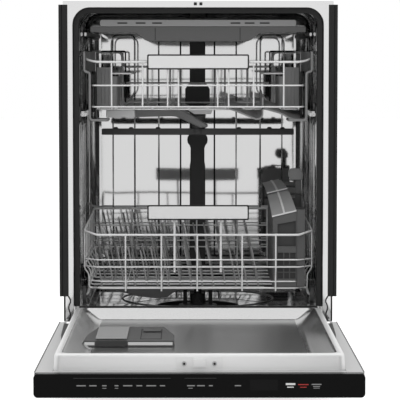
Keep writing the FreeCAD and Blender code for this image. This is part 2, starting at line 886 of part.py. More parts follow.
def ceiling_rotor():
    z = tub_ceiling_z - gasket_gap - conduit_depth - ceiling_arm_height - running_gap
    rotor = spray_arm(ceiling_arm_half, z, ceiling_arm_height, ceiling_arm_tip)
    rotor.translate(vec(0, ceiling_arm_y, 0))
    return rotor


# Door, open

def door_outer_panel():
    """Front sheet with folded sides and a cut-out for the pocket handle."""
    inner_half = door_half_width - sheet
    under_z = door_inner_z - sheet
    right = [
        (door_half_width, door_outer_z),
        (door_half_width, under_z),
        (inner_half, under_z),
        (inner_half, door_outer_z + sheet),
    ]
    left = [(-x, z) for x, z in reversed(right)]
    pan = prism("y", control_rear_y, door_foot_y, right + left)
    window = box(-pocket_half_width, pocket_half_width, pocket_y0, pocket_y1, door_outer_z - sheet,
                 door_outer_z + 2 * sheet)
    return pan.cut(window)


def rim_prism(inset, rear_y, z0, z1):
    """Rounded block of the liner's rim, drawn in from its outside by the inset."""
    return slab("z", z0, z1, inset - rim_half_width, rim_half_width - inset, rim_front_y + inset, rear_y,
                rim_corner - inset)


def door_inner_panel():
    """Pressed liner: flat flange, raised rim and a shallow basin."""
    under_z = door_inner_z - sheet
    half = door_half_width - sheet - gasket_gap
    flange = box(-half, half, control_rear_y, liner_rear_y, under_z, door_inner_z)
    notch_x0 = hinge_x - hinge_notch_side
    notch_x1 = hinge_x + 2 * hinge_plate + hinge_notch_side
    notch = box(notch_x0, notch_x1, liner_rear_y - hinge_notch_depth, liner_rear_y + sheet,
                under_z - sheet, door_inner_z + sheet)
    for cut in pair(notch):
        flange = flange.cut(cut)
    opening = rim_prism(sheet, rim_rear_y - sheet, under_z - sheet, door_inner_z + sheet)
    hollow = rim_prism(sheet, rim_rear_y - sheet, under_z - sheet, rim_top_z - sheet)
    rim = rim_prism(0, rim_rear_y, under_z, rim_top_z).cut(hollow)
    well_rear_y = rim_rear_y - rim_rear_ridge
    wall = rim_prism(rim_ridge - sheet, well_rear_y + sheet, basin_floor_z, rim_top_z)
    well = rim_prism(rim_ridge, well_rear_y, basin_floor_z + sheet, rim_top_z + sheet)
    latch_slot = box(-latch_half_width - running_gap, latch_half_width + running_gap, rim_front_y - sheet,
                     rim_front_y + 2 * sheet, latch_z0 - running_gap, latch_z1 + running_gap)
    return fused(flange.cut(opening), rim, wall).cut(well).cut(latch_slot)


def control_panel():
    front_y = -door_reach
    shell = slab("y", front_y, control_rear_y, -door_half_width, door_half_width, door_outer_z,
                 door_inner_z, control_corner)
    hollow = slab("y", front_y + control_wall, control_rear_y + sheet, control_wall - door_half_width,
                  door_half_width - control_wall, door_outer_z + control_wall, door_inner_z - control_wall,
                  control_corner - control_wall)
    return shell.cut(hollow)


def control_board():
    back_y = -door_reach + control_wall
    z0 = door_outer_z + board_margin
    z1 = door_inner_z - board_margin
    board = box(-board_half_width, board_half_width, back_y + board_post, back_y + board_post + sheet, z0,
                z1)
    posts = []
    middle_z = (z0 + z1) / 2
    for x in spread(board_margin - board_half_width, board_half_width - board_margin, board_half_width):
        posts.append(rod(board_post_radius, vec(x, back_y, middle_z), vec(x, back_y + board_post, middle_z)))
    return fused(board, *posts)


def pocket_handle():
    """Cup behind the front sheet that the fingers reach into."""
    gap = gasket_gap
    outer = box(gap - pocket_half_width, pocket_half_width - gap, pocket_y0 + gap, pocket_y1 - gap,
                door_outer_z, door_outer_z + pocket_depth)
    hollow = box(base_wall - pocket_half_width, pocket_half_width - base_wall, pocket_y0 + base_wall,
                 pocket_y1 - base_wall, door_outer_z - sheet, door_outer_z + pocket_depth - base_wall)
    return outer.cut(hollow)


def dispenser_body():
    z0 = basin_floor_z + sheet
    z1 = z0 + dispenser_height
    points = [
        (dispenser_x0, dispenser_y0),
        (dispenser_x1, dispenser_y0),
        (dispenser_x1, dispenser_y1 - dispenser_chamfer),
        (dispenser_x1 - dispenser_chamfer, dispenser_y1),
        (dispenser_x0 + dispenser_chamfer, dispenser_y1),
        (dispenser_x0, dispenser_y1 - dispenser_chamfer),
    ]
    body = prism("z", z0, z1, points)
    cup = box(lid_x0 + lid_thickness, lid_x0 + lid_width - lid_thickness, lid_y0 + lid_thickness,
              lid_y0 + lid_length - lid_travel, z0 + sheet, z1 + sheet)
    well = rod(cap_pin_radius + pin_clearance, vec(cap_x, cap_y, z0 + sheet), vec(cap_x, cap_y, z1 + sheet))
    return body.cut(cup).cut(well)


def detergent_lid():
    z0 = basin_floor_z + sheet + dispenser_height + running_gap
    plate = slab("z", z0, z0 + lid_thickness, lid_x0, lid_x0 + lid_width, lid_y0, lid_y0 + lid_length,
                 lid_thickness)
    grip = box(lid_x0 + lid_width / 4, lid_x0 + 3 * lid_width / 4, lid_y0 + lid_thickness,
               lid_y0 + 2 * lid_thickness,
               z0 + lid_thickness - sheet, z0 + lid_thickness)
    return plate.cut(grip)


def rinse_cap():
    z0 = basin_floor_z + sheet + dispenser_height + running_gap
    half = cap_side / 2
    cap = slab("z", z0, z0 + cap_height, cap_x - half, cap_x + half, cap_y - half, cap_y + half,
               lid_thickness)
    pin = rod(cap_pin_radius, vec(cap_x, cap_y, z0 - cap_height), vec(cap_x, cap_y, z0))
    return fused(cap, pin)


def latch_bolt():
    return box(-latch_half_width, latch_half_width, rim_front_y - latch_reach,
               rim_front_y + latch_reach * 2, latch_z0, latch_z1)


def door_screws():
    screws = []
    for side in (-1, 1):
        x = side * latch_screw_half_spacing
        head = vec(x, rim_front_y - sheet * 2, latch_screw_z)
        screws.append(rod(latch_screw_radius, head, vec(x, rim_front_y, latch_screw_z)))
    return screws


def hinge_arm():
    """Right-hand arm fixed under the liner, with the pin that turns in its bracket."""
    x0 = hinge_x + hinge_plate + running_gap
    under_z = door_inner_z - sheet
    low_z = pivot_z - hinge_pin_radius - hinge_nose
    points = [
        (pivot_y + hinge_pin_radius + hinge_nose, low_z),
        (pivot_y + hinge_pin_radius + hinge_nose, under_z - sheet),
        (liner_rear_y - hinge_notch_depth, under_z),
        (hinge_arm_front_y, under_z),
        (hinge_arm_front_y, low_z),
    ]
    plate = prism("x", x0, x0 + hinge_plate, points)
    pin = rod(hinge_pin_radius, vec(hinge_x - sheet, pivot_y, pivot_z), vec(x0, pivot_y, pivot_z))
    return fused(plate, pin)


def door_bottom_seal():
    """Strip along the hinge end of the rim."""
    half = ledge_inner_half - gasket_width
    return box(-half, half, rim_rear_y, rim_rear_y + seal_width, door_inner_z, door_inner_z + seal_height)


# Racks

def rack_walls(half, front_y, rear_y, columns, front_rows, side_rows, rear_rows, pitch):
    """Front, rear and two side grids of a wire basket, as separate flat panels."""
    centre = half - wire / 2
    front = wire_grid("y", front_y, (-centre,) + columns + (centre,), front_rows)
    rear = wire_grid("y", rear_y - wire, spread(-centre, centre, pitch), rear_rows)
    ys = spread(front_y + 1.5 * wire, rear_y - 1.5 * wire, pitch)
    side = wire_grid("x", half - wire, ys, side_rows)
    return [front, rear] + pair(side)


def rack_floor(half, front_y, rear_y, z, pitch):
    xs = spread(1.5 * wire - half, half - 1.5 * wire, pitch)
    ys = spread(front_y + 1.5 * wire, rear_y - 1.5 * wire, 2 * pitch)
    return wire_grid("z", z, xs, ys)


def rack_handle(half, front_y, z0, z1, post_x, post_bottom_z):
    """Flat grip with a sunk face, on two posts that meet the front of the rack."""
    y0 = front_y - handle_depth
    grip = slab("y", y0, front_y, -half, half, z0, z1, handle_corner)
    sunk = slab("y", y0 - handle_inset, y0 + handle_inset, handle_border - half, half - handle_border,
                z0 + handle_border, z1 - handle_border, handle_corner - handle_border)
    posts = []
    for side in (-1, 1):
        x = side * post_x
        posts.append(box(x - wire, x + wire, front_y - wire, front_y, post_bottom_z, z1 - handle_border))
    return fused(grip.cut(sunk), *posts)


def lower_rack_walls():
    low = lower_floor_z + wire / 2
    top = lower_front_top_z - wire / 2
    walls = rack_walls(lower_half_width, lower_front_y, lower_rear_y, lower_columns,
                       (low,) + lower_front_rows + (top,), (low,) + lower_side_rows + (top,),
                       spread(low, lower_rear_top_z - wire / 2, lower_pitch), lower_pitch * 2)
    front, rear, right, left = walls
    hanger = axle_hanger()
    return [front, rear, fused(right, *hanger), fused(left, *[mirrored(piece) for piece in hanger])]


def axle_z():
    return ledge_z + wheel_radius + running_gap


def axle_hanger():
    """Right-hand tabs and stub axles under the side of the lower rack."""
    pieces = []
    x0 = lower_half_width - wire
    for y in (wheel_front_y, wheel_rear_y):
        pieces.append(box(x0, lower_half_width, y - 2 * wheel_axle_radius, y + 2 * wheel_axle_radius,
                          axle_z() - 2 * wheel_axle_radius, lower_floor_z))
        pieces.append(rod(wheel_axle_radius, vec(lower_half_width, y, axle_z()),
                          vec(wheel_inner_x + wheel_width, y, axle_z())))
    return pieces


def wheels(y):
    """Two wheels that share one axle line."""
    start = vec(wheel_inner_x, y, axle_z())
    end = vec(wheel_inner_x + wheel_width, y, axle_z())
    wheel = rod(wheel_radius, start, end).cut(rod(wheel_axle_radius + pin_clearance, start, end))
    return pair(wheel)


def tine_row(x):
    """Comb of upright wires on one base wire, leaning to the left."""
    z0 = lower_floor_z + wire + tine_base_gap
    z1 = z0 + tine_wire
    top_z = z0 + tine_height
    length = tine_pitch * (tine_count - 1)
    points = [(tine_front_y, z0), (tine_front_y + length + tine_wire, z0)]
    for index in reversed(range(tine_count)):
        y = tine_front_y + index * tine_pitch
        points.append((y + tine_wire, top_z))
        points.append((y, top_z))
        if index:
            points.append((y, z1))
            points.append((y - tine_pitch + tine_wire, z1))
    comb = prism("x", x - tine_wire / 2, x + tine_wire / 2, points)
    comb.rotate(vec(x, 0, z0 + tine_wire / 2), vec(0, 1, 0), -tine_lean)
    return comb


def basket_wall_grid(plane, level, us, vs):
    return wire_grid(plane, level, us, vs, basket_bar, basket_wall)


def basket_base_z():
    return lower_floor_z + wire + running_gap


def basket_middle_y():
    return (basket_front_y + basket_rear_y) / 2


def basket_edge_z(y):
    """Height of the basket's sloping top edge."""
    rise = (basket_rear_top_z - basket_top_z) / (basket_rear_y - basket_front_y)
    return basket_top_z + rise * (y - basket_front_y)


def basket_side(x0):
    """Windowed side wall under a sloping rail."""
    half_bar = basket_bar / 2
    ys = spread(basket_front_y + half_bar, basket_rear_y - half_bar, basket_pitch)
    zs = spread(basket_base_z() + half_bar, basket_rear_top_z - half_bar, basket_pitch)
    grid = basket_wall_grid("x", x0, ys, zs)
    edge = [(basket_front_y, basket_top_z), (basket_rear_y, basket_rear_top_z)]
    above = prism("x", x0 - basket_wall, x0 + 2 * basket_wall, edge + [(basket_front_y, basket_rear_top_z)])
    rail = prism("x", x0, x0 + basket_wall, edge + [(y, z - basket_bar) for y, z in reversed(edge)])
    return fused(grid.cut(above), rail)


def basket_end(y0, top_z):
    """Windowed end wall."""
    half_bar = basket_bar / 2
    xs = spread(basket_x0 + half_bar, basket_x1 - half_bar, basket_pitch)
    zs = spread(basket_base_z() + half_bar, top_z - half_bar, basket_pitch)
    return basket_wall_grid("y", y0, xs, zs)


def cutlery_basket():
    """Open basket of windowed walls with a divider and a handle at its outer side."""
    z0 = basket_base_z()
    front = basket_end(basket_front_y, basket_top_z)
    rear = basket_end(basket_rear_y - basket_wall, basket_edge_z(basket_rear_y - basket_wall))
    left = basket_side(basket_x0)
    right = basket_side(basket_x1 - basket_wall)
    floor = box(basket_x0, basket_x1, basket_front_y, basket_rear_y, z0, z0 + basket_wall)
    middle_y = basket_middle_y()
    y0 = middle_y - basket_wall
    y1 = middle_y + basket_wall
    edge_z = basket_edge_z(y0)
    divider = box(basket_x0, basket_x1, y0, y1, z0, edge_z)
    x1 = basket_x1 - basket_wall
    stem = box(x1 - basket_handle_width, x1, y0, y1, edge_z, basket_handle_top_z)
    grip = box(x1 - basket_grip_width, x1, y1 - basket_grip_depth, y1,
               basket_handle_top_z - basket_grip_height, basket_handle_top_z)
    return fused(front, rear, left, right, floor, divider, stem, grip)


def basket_lid(y0, y1):
    """Gridded lid that lies on the sloping edge and turns about the basket's outer side."""
    half_bar = basket_bar / 2
    xs = spread(basket_x0 + half_bar, basket_x1 - half_bar, basket_pitch)
    ys = spread(y0 + half_bar, y1 - half_bar, basket_pitch)
    lid = wire_grid("z", basket_top_z + running_gap, xs, ys, basket_bar, basket_lid_thickness)
    slope = math.atan2(basket_rear_top_z - basket_top_z, basket_rear_y - basket_front_y)
    lid.rotate(vec(0, basket_front_y, basket_top_z), vec(1, 0, 0), math.degrees(slope))
    return lid


def upper_rack_walls():
    low = upper_wall_bottom_z + wire / 2
    top = upper_top_z - wire / 2
    rear_rows = spread(upper_floor_z + wire / 2, top, upper_pitch)
    return rack_walls(upper_half_width, upper_front_y, upper_rear_y, upper_columns,
                      (low,) + upper_rows + (top,),
                      (low,) + upper_rows + (top,), rear_rows, upper_pitch)


def upper_rails():
    return pair(box(rail_inner_x, rail_inner_x + rail_width, rail_front_y, rail_rear_y, rail_z0,
                    rail_z0 + rail_height))


def upper_adjuster():
    """Right-hand side bracket whose two rollers ride on the rail."""
    x0 = upper_half_width + running_gap
    x1 = x0 + adjuster_width
    roller_z = rail_z0 + rail_height + running_gap + adjuster_roller
    rail_middle = rail_inner_x + rail_width / 2
    plate = slab("x", x0, x1, adjuster_front_y, adjuster_rear_y, roller_z - adjuster_roller,
                 adjuster_top_z, adjuster_corner)
    rollers = []
    for y in (adjuster_front_y + adjuster_inset, adjuster_rear_y - adjuster_inset):
        rollers.append(rod(adjuster_roller, vec(x1, y, roller_z), vec(rail_middle - running_gap, y, roller_z)))
    return fused(plate, *rollers)


def manifold_top_z():
    return upper_floor_z - running_gap


def spray_manifold():
    """Feed under the upper rack: back to the wall port, left to the jets and down to the arm."""
    top_z = manifold_top_z()
    z0 = top_z - manifold_height
    half = manifold_width / 2
    rear_y = dock_front_y() - running_gap
    spine = box(-half, half, mid_arm_y - half, rear_y, z0, top_z)
    branch = slab("z", z0, top_z, manifold_x0, half, mid_arm_y - half, mid_arm_y + half, branch_corner)
    pin = rod(arm_pin_radius, vec(0, mid_arm_y, mid_arm_z - running_gap), vec(0, mid_arm_y, z0))
    cap = rod(arm_pin_radius + sheet, vec(0, mid_arm_y, mid_arm_z - running_gap - sheet),
              vec(0, mid_arm_y, mid_arm_z - running_gap))
    shoulder = upright(arm_hub_radius, 0, mid_arm_y, mid_arm_z + mid_arm_height + running_gap, z0)
    return fused(spine, branch, pin, cap, shoulder)


def mid_spray_arm():
    arm = spray_arm(mid_arm_half, mid_arm_z, mid_arm_height, mid_arm_tip)
    arm.translate(vec(0, mid_arm_y, 0))
    return arm


def cup_shelf():
    """Right-hand fold-up wire shelf."""
    outer = upper_half_width - wire - shelf_hinge_gap - wire / 2
    xs = spread(outer - shelf_reach, outer, shelf_reach / 2)
    ys = spread(shelf_front_y, shelf_front_y + shelf_length, upper_pitch)
    return wire_grid("z", shelf_z, xs, ys)


def third_rack_tray():
    """Shallow wire tray with plain sides and the runners that ride in the wall rollers."""
    front_y = third_front_y + fascia_depth
    floor = rack_floor(third_half_width, front_y - wire, third_rear_y, third_floor_z, third_pitch)
    side = box(third_half_width - wire, third_half_width, front_y, third_rear_y, third_floor_z,
               third_side_top_z)
    runner = box(third_half_width, rail_inner_x + rail_width, front_y, third_rear_y, third_runner_z0,
                 third_runner_z0 + third_runner_height)
    rear = box(-third_half_width, third_half_width, third_rear_y - wire, third_rear_y, third_floor_z,
               third_side_top_z)
    return fused(floor, rear, *pair(side), *pair(runner))


def third_rack_fascia():
    half = third_half_width + sheet
    shoulder = fascia_drop_half + fascia_shoulder
    points = [
        (-half, fascia_side_z),
        (-shoulder, fascia_side_z),
        (-fascia_drop_half, fascia_drop_z),
        (fascia_drop_half, fascia_drop_z),
        (shoulder, fascia_side_z),
        (half, fascia_side_z),
        (half, fascia_top_z),
        (-half, fascia_top_z),
    ]
    return prism("y", third_front_y, third_front_y + fascia_depth, points)


def third_rack_trim():
    return slab("y", third_front_y, third_front_y + fascia_depth - sheet, -trim_strip_half, trim_strip_half,
                fascia_top_z, trim_strip_top_z, trim_strip_corner)


def build():
    os.makedirs("parts", exist_ok=True)
    keep("tub_wrapper", tub_wrapper())
    keep("tub_back_panel", tub_back_panel())
    keep("tub_floor", tub_floor())
    keep("door_gasket", door_gasket())
    keep("side_trims", *pair(side_trim()))
    keep("tub_insulation", *tub_insulation())
    keep("base_frame", base_frame())
    keep("leveling_feet", *leveling_feet())
    keep("toe_panel", toe_panel())
    keep("sump", sump())
    keep("circulation_pump", circulation_pump())
    keep("drain_pump", drain_pump())
    keep("inlet_valve", inlet_valve())
    keep("junction_box", junction_box())
    keep("heater_element", heater_element())
    keep("feed_conduit", feed_conduit())
    keep("hinge_brackets", *pair(hinge_bracket()))
    keep("counter_brackets", *counter_brackets())
    rail_rollers = roller_bracket(rail_z0, rail_height)
    third_rollers = roller_bracket(third_runner_z0, third_runner_height)
    keep("upper_rack_rollers", *pair(rail_rollers))
    keep("third_rack_rollers", *pair(third_rollers))
    keep("latch_strike", latch_strike())
    keep("filter_cylinder", filter_cylinder())
    keep("overflow_float", overflow_float())
    keep("lower_spray_arm", lower_spray_arm())
    keep("ceiling_spray_rotor", ceiling_rotor())
    keep("door_outer_panel", door_outer_panel())
    keep("door_inner_panel", door_inner_panel())
    keep("control_panel", control_panel())
    keep("control_board", control_board())
    keep("pocket_handle", pocket_handle())
    keep("dispenser_body", dispenser_body())
    keep("detergent_lid", detergent_lid())
    keep("rinse_cap", rinse_cap())
    keep("latch_bolt", latch_bolt())
    keep("door_screws", *door_screws())
    keep("hinge_arms", *pair(hinge_arm()))
    keep("door_bottom_seal", door_bottom_seal())
    keep("lower_rack_floor", rack_floor(lower_half_width, lower_front_y, lower_rear_y, lower_floor_z,
                                        lower_pitch))
    keep("lower_rack_walls", *lower_rack_walls())
    keep("lower_rack_handle", rack_handle(lower_handle_half, lower_front_y, lower_handle_z0,
                                          lower_handle_z1,
                                          handle_post_x, lower_front_top_z - 2 * wire))
    keep("lower_wheels_front", *wheels(wheel_front_y))
    keep("lower_wheels_rear", *wheels(wheel_rear_y))
    keep("fixed_tines", *[tine_row(x) for x in fixed_tine_xs])
    keep("folding_tines_left", tine_row(folding_tine_xs[0]))
    keep("folding_tines_right", tine_row(folding_tine_xs[1]))
    keep("cutlery_basket", cutlery_basket())
    lid_end = basket_middle_y() - basket_lid_gap
    lid_start = basket_middle_y() + basket_lid_gap
    keep("basket_lid_front", basket_lid(basket_front_y, lid_end))
    keep("basket_lid_rear", basket_lid(lid_start, basket_rear_y))
    keep("upper_rack_floor", rack_floor(upper_half_width, upper_front_y, upper_rear_y, upper_floor_z,
                                        upper_pitch))
    keep("upper_rack_walls", *upper_rack_walls())
    keep("upper_rack_handle", rack_handle(upper_handle_half, upper_front_y, upper_handle_z0,
                                          upper_handle_z1,
                                          handle_post_x, upper_top_z - 2 * wire))
    keep("upper_rails", *upper_rails())
    keep("upper_adjusters", *pair(upper_adjuster()))
    keep("spray_manifold", spray_manifold())
    keep("mid_spray_arm", mid_spray_arm())
    right_shelf, left_shelf = pair(cup_shelf())
    keep("cup_shelf_right", right_shelf)
    keep("cup_shelf_left", left_shelf)
    keep("third_rack_tray", third_rack_tray())
    keep("third_rack_fascia", third_rack_fascia())
    keep("third_rack_trim", third_rack_trim())


build()
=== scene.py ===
"""Built-in dishwasher with its door open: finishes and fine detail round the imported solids."""

import math

import bmesh
import bpy
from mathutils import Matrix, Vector


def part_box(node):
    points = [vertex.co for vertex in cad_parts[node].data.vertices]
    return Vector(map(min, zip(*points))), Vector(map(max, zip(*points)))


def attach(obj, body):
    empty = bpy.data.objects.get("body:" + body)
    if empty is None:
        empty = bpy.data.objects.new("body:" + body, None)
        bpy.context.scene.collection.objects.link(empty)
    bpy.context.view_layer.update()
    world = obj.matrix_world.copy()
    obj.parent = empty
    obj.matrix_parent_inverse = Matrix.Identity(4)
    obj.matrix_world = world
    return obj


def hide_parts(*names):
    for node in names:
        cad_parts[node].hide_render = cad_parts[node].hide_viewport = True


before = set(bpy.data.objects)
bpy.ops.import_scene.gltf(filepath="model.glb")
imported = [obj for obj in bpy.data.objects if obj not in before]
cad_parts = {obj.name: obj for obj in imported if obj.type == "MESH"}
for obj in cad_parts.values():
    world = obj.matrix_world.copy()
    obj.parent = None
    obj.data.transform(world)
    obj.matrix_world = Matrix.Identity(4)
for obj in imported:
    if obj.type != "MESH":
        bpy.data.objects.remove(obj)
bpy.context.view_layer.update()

# Lengths are millimetres. X is to the right, Y is 0 on the face of the tub flange, Z is up.
MM = 0.001
FLANGE_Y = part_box("tub_wrapper")[0].y
REAR_FACE = 543.4
ARC_STEPS = 6
SHARP_ANGLE = math.radians(35)
WELD_GAP = 0.01
# Print and painted recess shade stand this far before the face that they are on.
PROUD = 0.15
WHITE = (1.0, 1.0, 1.0, 1.0)

# Wire racks
WIRE = 1.8
RAIL_WIRE = 2.6
THIN_WIRE = 1.6
TRAY_WIRE = 1.44
TINE_WIRE = 2.0
LOWER_HALF = 252.0
LOWER_FOOT_HALF = 242.0
LOWER_FRONT_HALF = 222.0
LOWER_CUT = 30.0
LOWER_FRONT = 32.0
LOWER_REAR = 516.0
LOWER_FLOOR = 220.0
LOWER_STEP = (248.0, 262.0)
LOWER_COLUMNS = (-160.0, -81.0, -2.0, 97.0, 171.0)
# Share of the rail's rise that its cut front corners take up
CORNER_RISE = 0.3
TINE_ROWS = (80.0, 242.0, 431.0)
TINE_HEIGHT = 76.0
TINE_LEAN = 0.18
UPPER_HALF = 233.0
UPPER_FRONT = 42.0
UPPER_REAR = 510.0
UPPER_FLOOR = 608.0
UPPER_COLUMNS = (-190.0, -122.0, -67.0, -43.0, 43.0, 67.0, 122.0, 188.0)


def place(x, y, z):
    """A point of the drawing in the scene."""
    return Vector((x * MM, FLANGE_Y + y * MM, z * MM))


def behind_flange(y):
    """The drawing's Y of a place in the scene."""
    return (y - FLANGE_Y) / MM


# Materials

look = {}


def feed(tree, socket, value):
    """Links a node's output to a socket, or sets the socket to a plain value."""
    if isinstance(value, bpy.types.NodeSocket):
        tree.links.new(value, socket)
    else:
        socket.default_value = value


def add_node(tree, kind, **inputs):
    """A shader node with its inputs fed. An underscore in an input's name stands for a space."""
    node = tree.nodes.new("ShaderNode" + kind)
    for name, value in inputs.items():
        feed(tree, node.inputs[name.replace("_", " ")], value)
    return node


def calculate(tree, operation, *values):
    """The result of one step of arithmetic."""
    node = tree.nodes.new("ShaderNodeMath")
    node.operation = operation
    for socket, value in zip(node.inputs, values):
        feed(tree, socket, value)
    return node.outputs["Value"]


def surface(name, shade, roughness, metallic=0.0, shine=0.5):
    """A plain finish in a grey level or a colour, kept in look under its name."""
    colour = shade if isinstance(shade, tuple) else (shade, shade, shade)
    material = bpy.data.materials.new(name)
    material.use_nodes = True
    shader = material.node_tree.nodes["Principled BSDF"]
    shader.inputs["Base Color"].default_value = (*colour, 1.0)
    shader.inputs["Roughness"].default_value = roughness
    shader.inputs["Metallic"].default_value = metallic
    shader.inputs["Specular IOR Level"].default_value = shine
    look[name] = material
    return material


def grain(material, scale, low, high, relief, detail=3.0, depth=0.2):
    """Noise drawn out along the axes by scale, in the gloss from low to high and in the relief."""
    tree = material.node_tree
    shader = tree.nodes["Principled BSDF"]
    spot = add_node(tree, "TexCoord").outputs["Object"]
    drawn_out = add_node(tree, "Mapping", Vector=spot, Scale=scale).outputs["Vector"]
    noise = add_node(tree, "TexNoise", Vector=drawn_out, Scale=1.0, Detail=detail).outputs["Fac"]
    gloss = add_node(tree, "MapRange", Value=noise, To_Min=low, To_Max=high)
    bump = add_node(tree, "Bump", Strength=relief, Distance=depth * MM, Height=noise)
    feed(tree, shader.inputs["Roughness"], gloss.outputs["Result"])
    feed(tree, shader.inputs["Normal"], bump.outputs["Normal"])


def speckle(material, scale, low, high, relief):
    """Grain that is the same along every axis."""
    grain(material, (scale, scale, scale), low, high, relief)


def lean(material, axis, degrees, waves, start=0.0, length=1e6):
    """Slight slope along an axis of a bright sheet, fading out from start over length, and unevenness."""
    tree = material.node_tree
    shader = tree.nodes["Principled BSDF"]
    spot = add_node(tree, "TexCoord").outputs["Object"]
    level = add_node(tree, "SeparateXYZ", Vector=spot).outputs[axis]
    noise = add_node(tree, "TexNoise", Vector=spot, Scale=7.0, Detail=0.0).outputs["Fac"]
    unevenness = calculate(tree, "MULTIPLY", noise, waves * MM)
    beyond = calculate(tree, "SUBTRACT", level, start * MM)
    faded = calculate(tree, "MAXIMUM", beyond, 0.0)
    square = calculate(tree, "MULTIPLY", faded, faded)
    run = calculate(tree, "MULTIPLY_ADD", square, -1.0 / (2 * length * MM), level)
    height = calculate(tree, "MULTIPLY_ADD", run, math.tan(math.radians(degrees)), unevenness)
    bump = add_node(tree, "Bump", Strength=1.0, Distance=1.0, Height=height)
    feed(tree, shader.inputs["Normal"], bump.outputs["Normal"])


def metal_finishes():
    """Bright, satin and plated sheet, foil and silver trims."""
    waves_across = (0.4, 26.0, 0.6)
    brushed = (6, 600, 600)
    fine_brushed = (8, 900, 900)
    grain(surface("tub_steel", 0.74, 0.08, 1.0), waves_across, 0.05, 0.1, 0.7, detail=1.0, depth=12.0)
    lean(surface("floor_steel", 0.8, 0.1, 1.0), "Y", 7.5, 1.6)
    lean(surface("mirror_steel", 0.66, 0.05, 1.0), "Z", 1.45, 0.5, start=480.0, length=250.0)
    lean(surface("liner_steel", 0.7, 0.2, 1.0), "Y", 3.0, 0.4)
    lean(surface("basin_steel", 0.48, 0.3, 1.0), "Y", 4.5, 0.4)
    surface("flange_steel", 0.57, 0.4, 0.6)
    grain(surface("satin_steel", 0.82, 0.4, 0.6), brushed, 0.36, 0.46, 0.03)
    surface("corner_steel", 0.6, 0.08, 1.0)
    # Dark metal for the rear corner under the tub's ceiling: painted shade.
    surface("ceiling_painted_shade", 0.14, 0.2, 1.0)
    grain(surface("door_steel", 0.62, 0.3, 1.0), brushed, 0.24, 0.4, 0.05)
    speckle(surface("zinc_steel", 0.55, 0.4, 1.0), 60, 0.3, 0.5, 0.05)
    speckle(surface("heater_steel", 0.3, 0.35, 1.0), 90, 0.3, 0.45, 0.05)
    speckle(surface("foil_tape", 0.5, 0.35, 1.0), 120, 0.3, 0.5, 0.4)
    surface("rail_steel", 0.66, 0.25, 1.0)
    grain(surface("silver_trim", 0.77, 0.34, 0.35), fine_brushed, 0.3, 0.4, 0.03)
    surface("strip_trim", 0.27, 0.35, 0.5)


def plastic_finishes():
    """Moulded plastic, rubber, the blanket and the coated wires."""
    speckle(surface("gasket_rubber", 0.021, 0.5, shine=0.3), 700, 0.4, 0.6, 0.2)
    speckle(surface("black_trim", 0.013, 0.45, shine=0.35), 900, 0.4, 0.55, 0.1)
    speckle(surface("blanket", 0.12, 0.95), 400, 0.9, 1.0, 0.8)
    speckle(surface("dark_plastic", 0.013, 0.42, shine=0.3), 500, 0.38, 0.5, 0.05)
    speckle(surface("conduit_plastic", 0.045, 0.42, shine=0.3), 500, 0.38, 0.5, 0.05)
    speckle(surface("arm_plastic", 0.04, 0.45), 500, 0.4, 0.5, 0.05)
    speckle(surface("grey_plastic", 0.088, 0.5), 600, 0.45, 0.58, 0.05)
    speckle(surface("lid_plastic", 0.3, 0.5), 220, 0.4, 0.65, 1.0)
    speckle(surface("wire", 0.76, 0.36), 300, 0.3, 0.42, 0.03)
    # Darker copy of the rack wire for the tines: painted shade deeper in the rack.
    surface("tine_wire_painted_shade", 0.3, 0.36)
    surface("foot_plastic", 0.04, 0.5)
    surface("white_plastic", 0.72, 0.45)
    surface("light_plastic", 0.66, 0.45)
    surface("smoke_plastic", 0.2, 0.4)
    # Pale grey for the backs of the rack handles: painted light.
    surface("handle_back_painted_light", 0.85, 0.5)
    surface("lid_grey", 0.31, 0.45)
    # Near-black for the inside of gaps, holes and sockets: painted shade.
    surface("painted_recess_shade", 0.01, 0.7)


def panel_finishes():
    """The control panel, its print and display, and the board behind it."""
    surface("black_panel", 0.004, 0.25, shine=0.06)
    surface("mark_grey", 0.22, 0.6)
    surface("mark_pale", 0.6, 0.6)
    surface("mark_red", (0.35, 0.02, 0.015), 0.6)
    surface("display_glass", 0.006, 0.2, shine=0.08)
    surface("circuit_board", (0.03, 0.2, 0.07), 0.4)


# Shape helpers


def dress(piece, body, finish, slot, *nodes):
    """Gives a piece its finish, the body that carries it and the solids that it stands for. The slot is not
    used.
    """
    piece.data.materials.append(look[finish])
    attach(piece, body)
    if nodes:
        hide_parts(*nodes)
    return piece


def soften(piece, width, steps=2):
    """Rounds the sharp edges."""
    weld = piece.modifiers.new("weld", "WELD")
    weld.merge_threshold = WELD_GAP * MM
    bevel = piece.modifiers.new("edges", "BEVEL")
    bevel.width = width * MM
    bevel.segments = steps
    bevel.limit_method = "ANGLE"
    bevel.angle_limit = SHARP_ANGLE
    bevel.use_clamp_overlap = True
    return piece


def mesh_object(name, shape):
    """An object from a bmesh, smooth except at sharp edges."""
    bmesh.ops.recalc_face_normals(shape, faces=shape.faces[:])
    mesh = bpy.data.meshes.new(name)
    shape.to_mesh(mesh)
    shape.free()
    mesh.shade_smooth()
    mesh.set_sharp_from_angle(angle=SHARP_ANGLE)
    piece = bpy.data.objects.new(name, mesh)
    bpy.context.scene.collection.objects.link(piece)
    return piece


def add_prism(shape, rings, lids=True):
    """Joins rings of points, all of one length, and closes the two ends."""
    rows = [[shape.verts.new(place(*point)) for point in ring] for ring in rings]
    count = len(rows[0])
    for low, high in zip(rows, rows[1:]):
        for i in range(count):
            j = (i + 1) % count
            shape.faces.new((low[i], low[j], high[j], high[i]))
    if lids:
        shape.faces.new(list(reversed(rows[0])))
        shape.faces.new(rows[-1])


def along(axis, outline, level):
    """Points of a flat outline (u, v) set at one level of an axis."""
    if axis == "x":
        return [(level, u, v) for u, v in outline]
    if axis == "y":
        return [(u, level, v) for u, v in outline]
    return [(u, v, level) for u, v in outline]


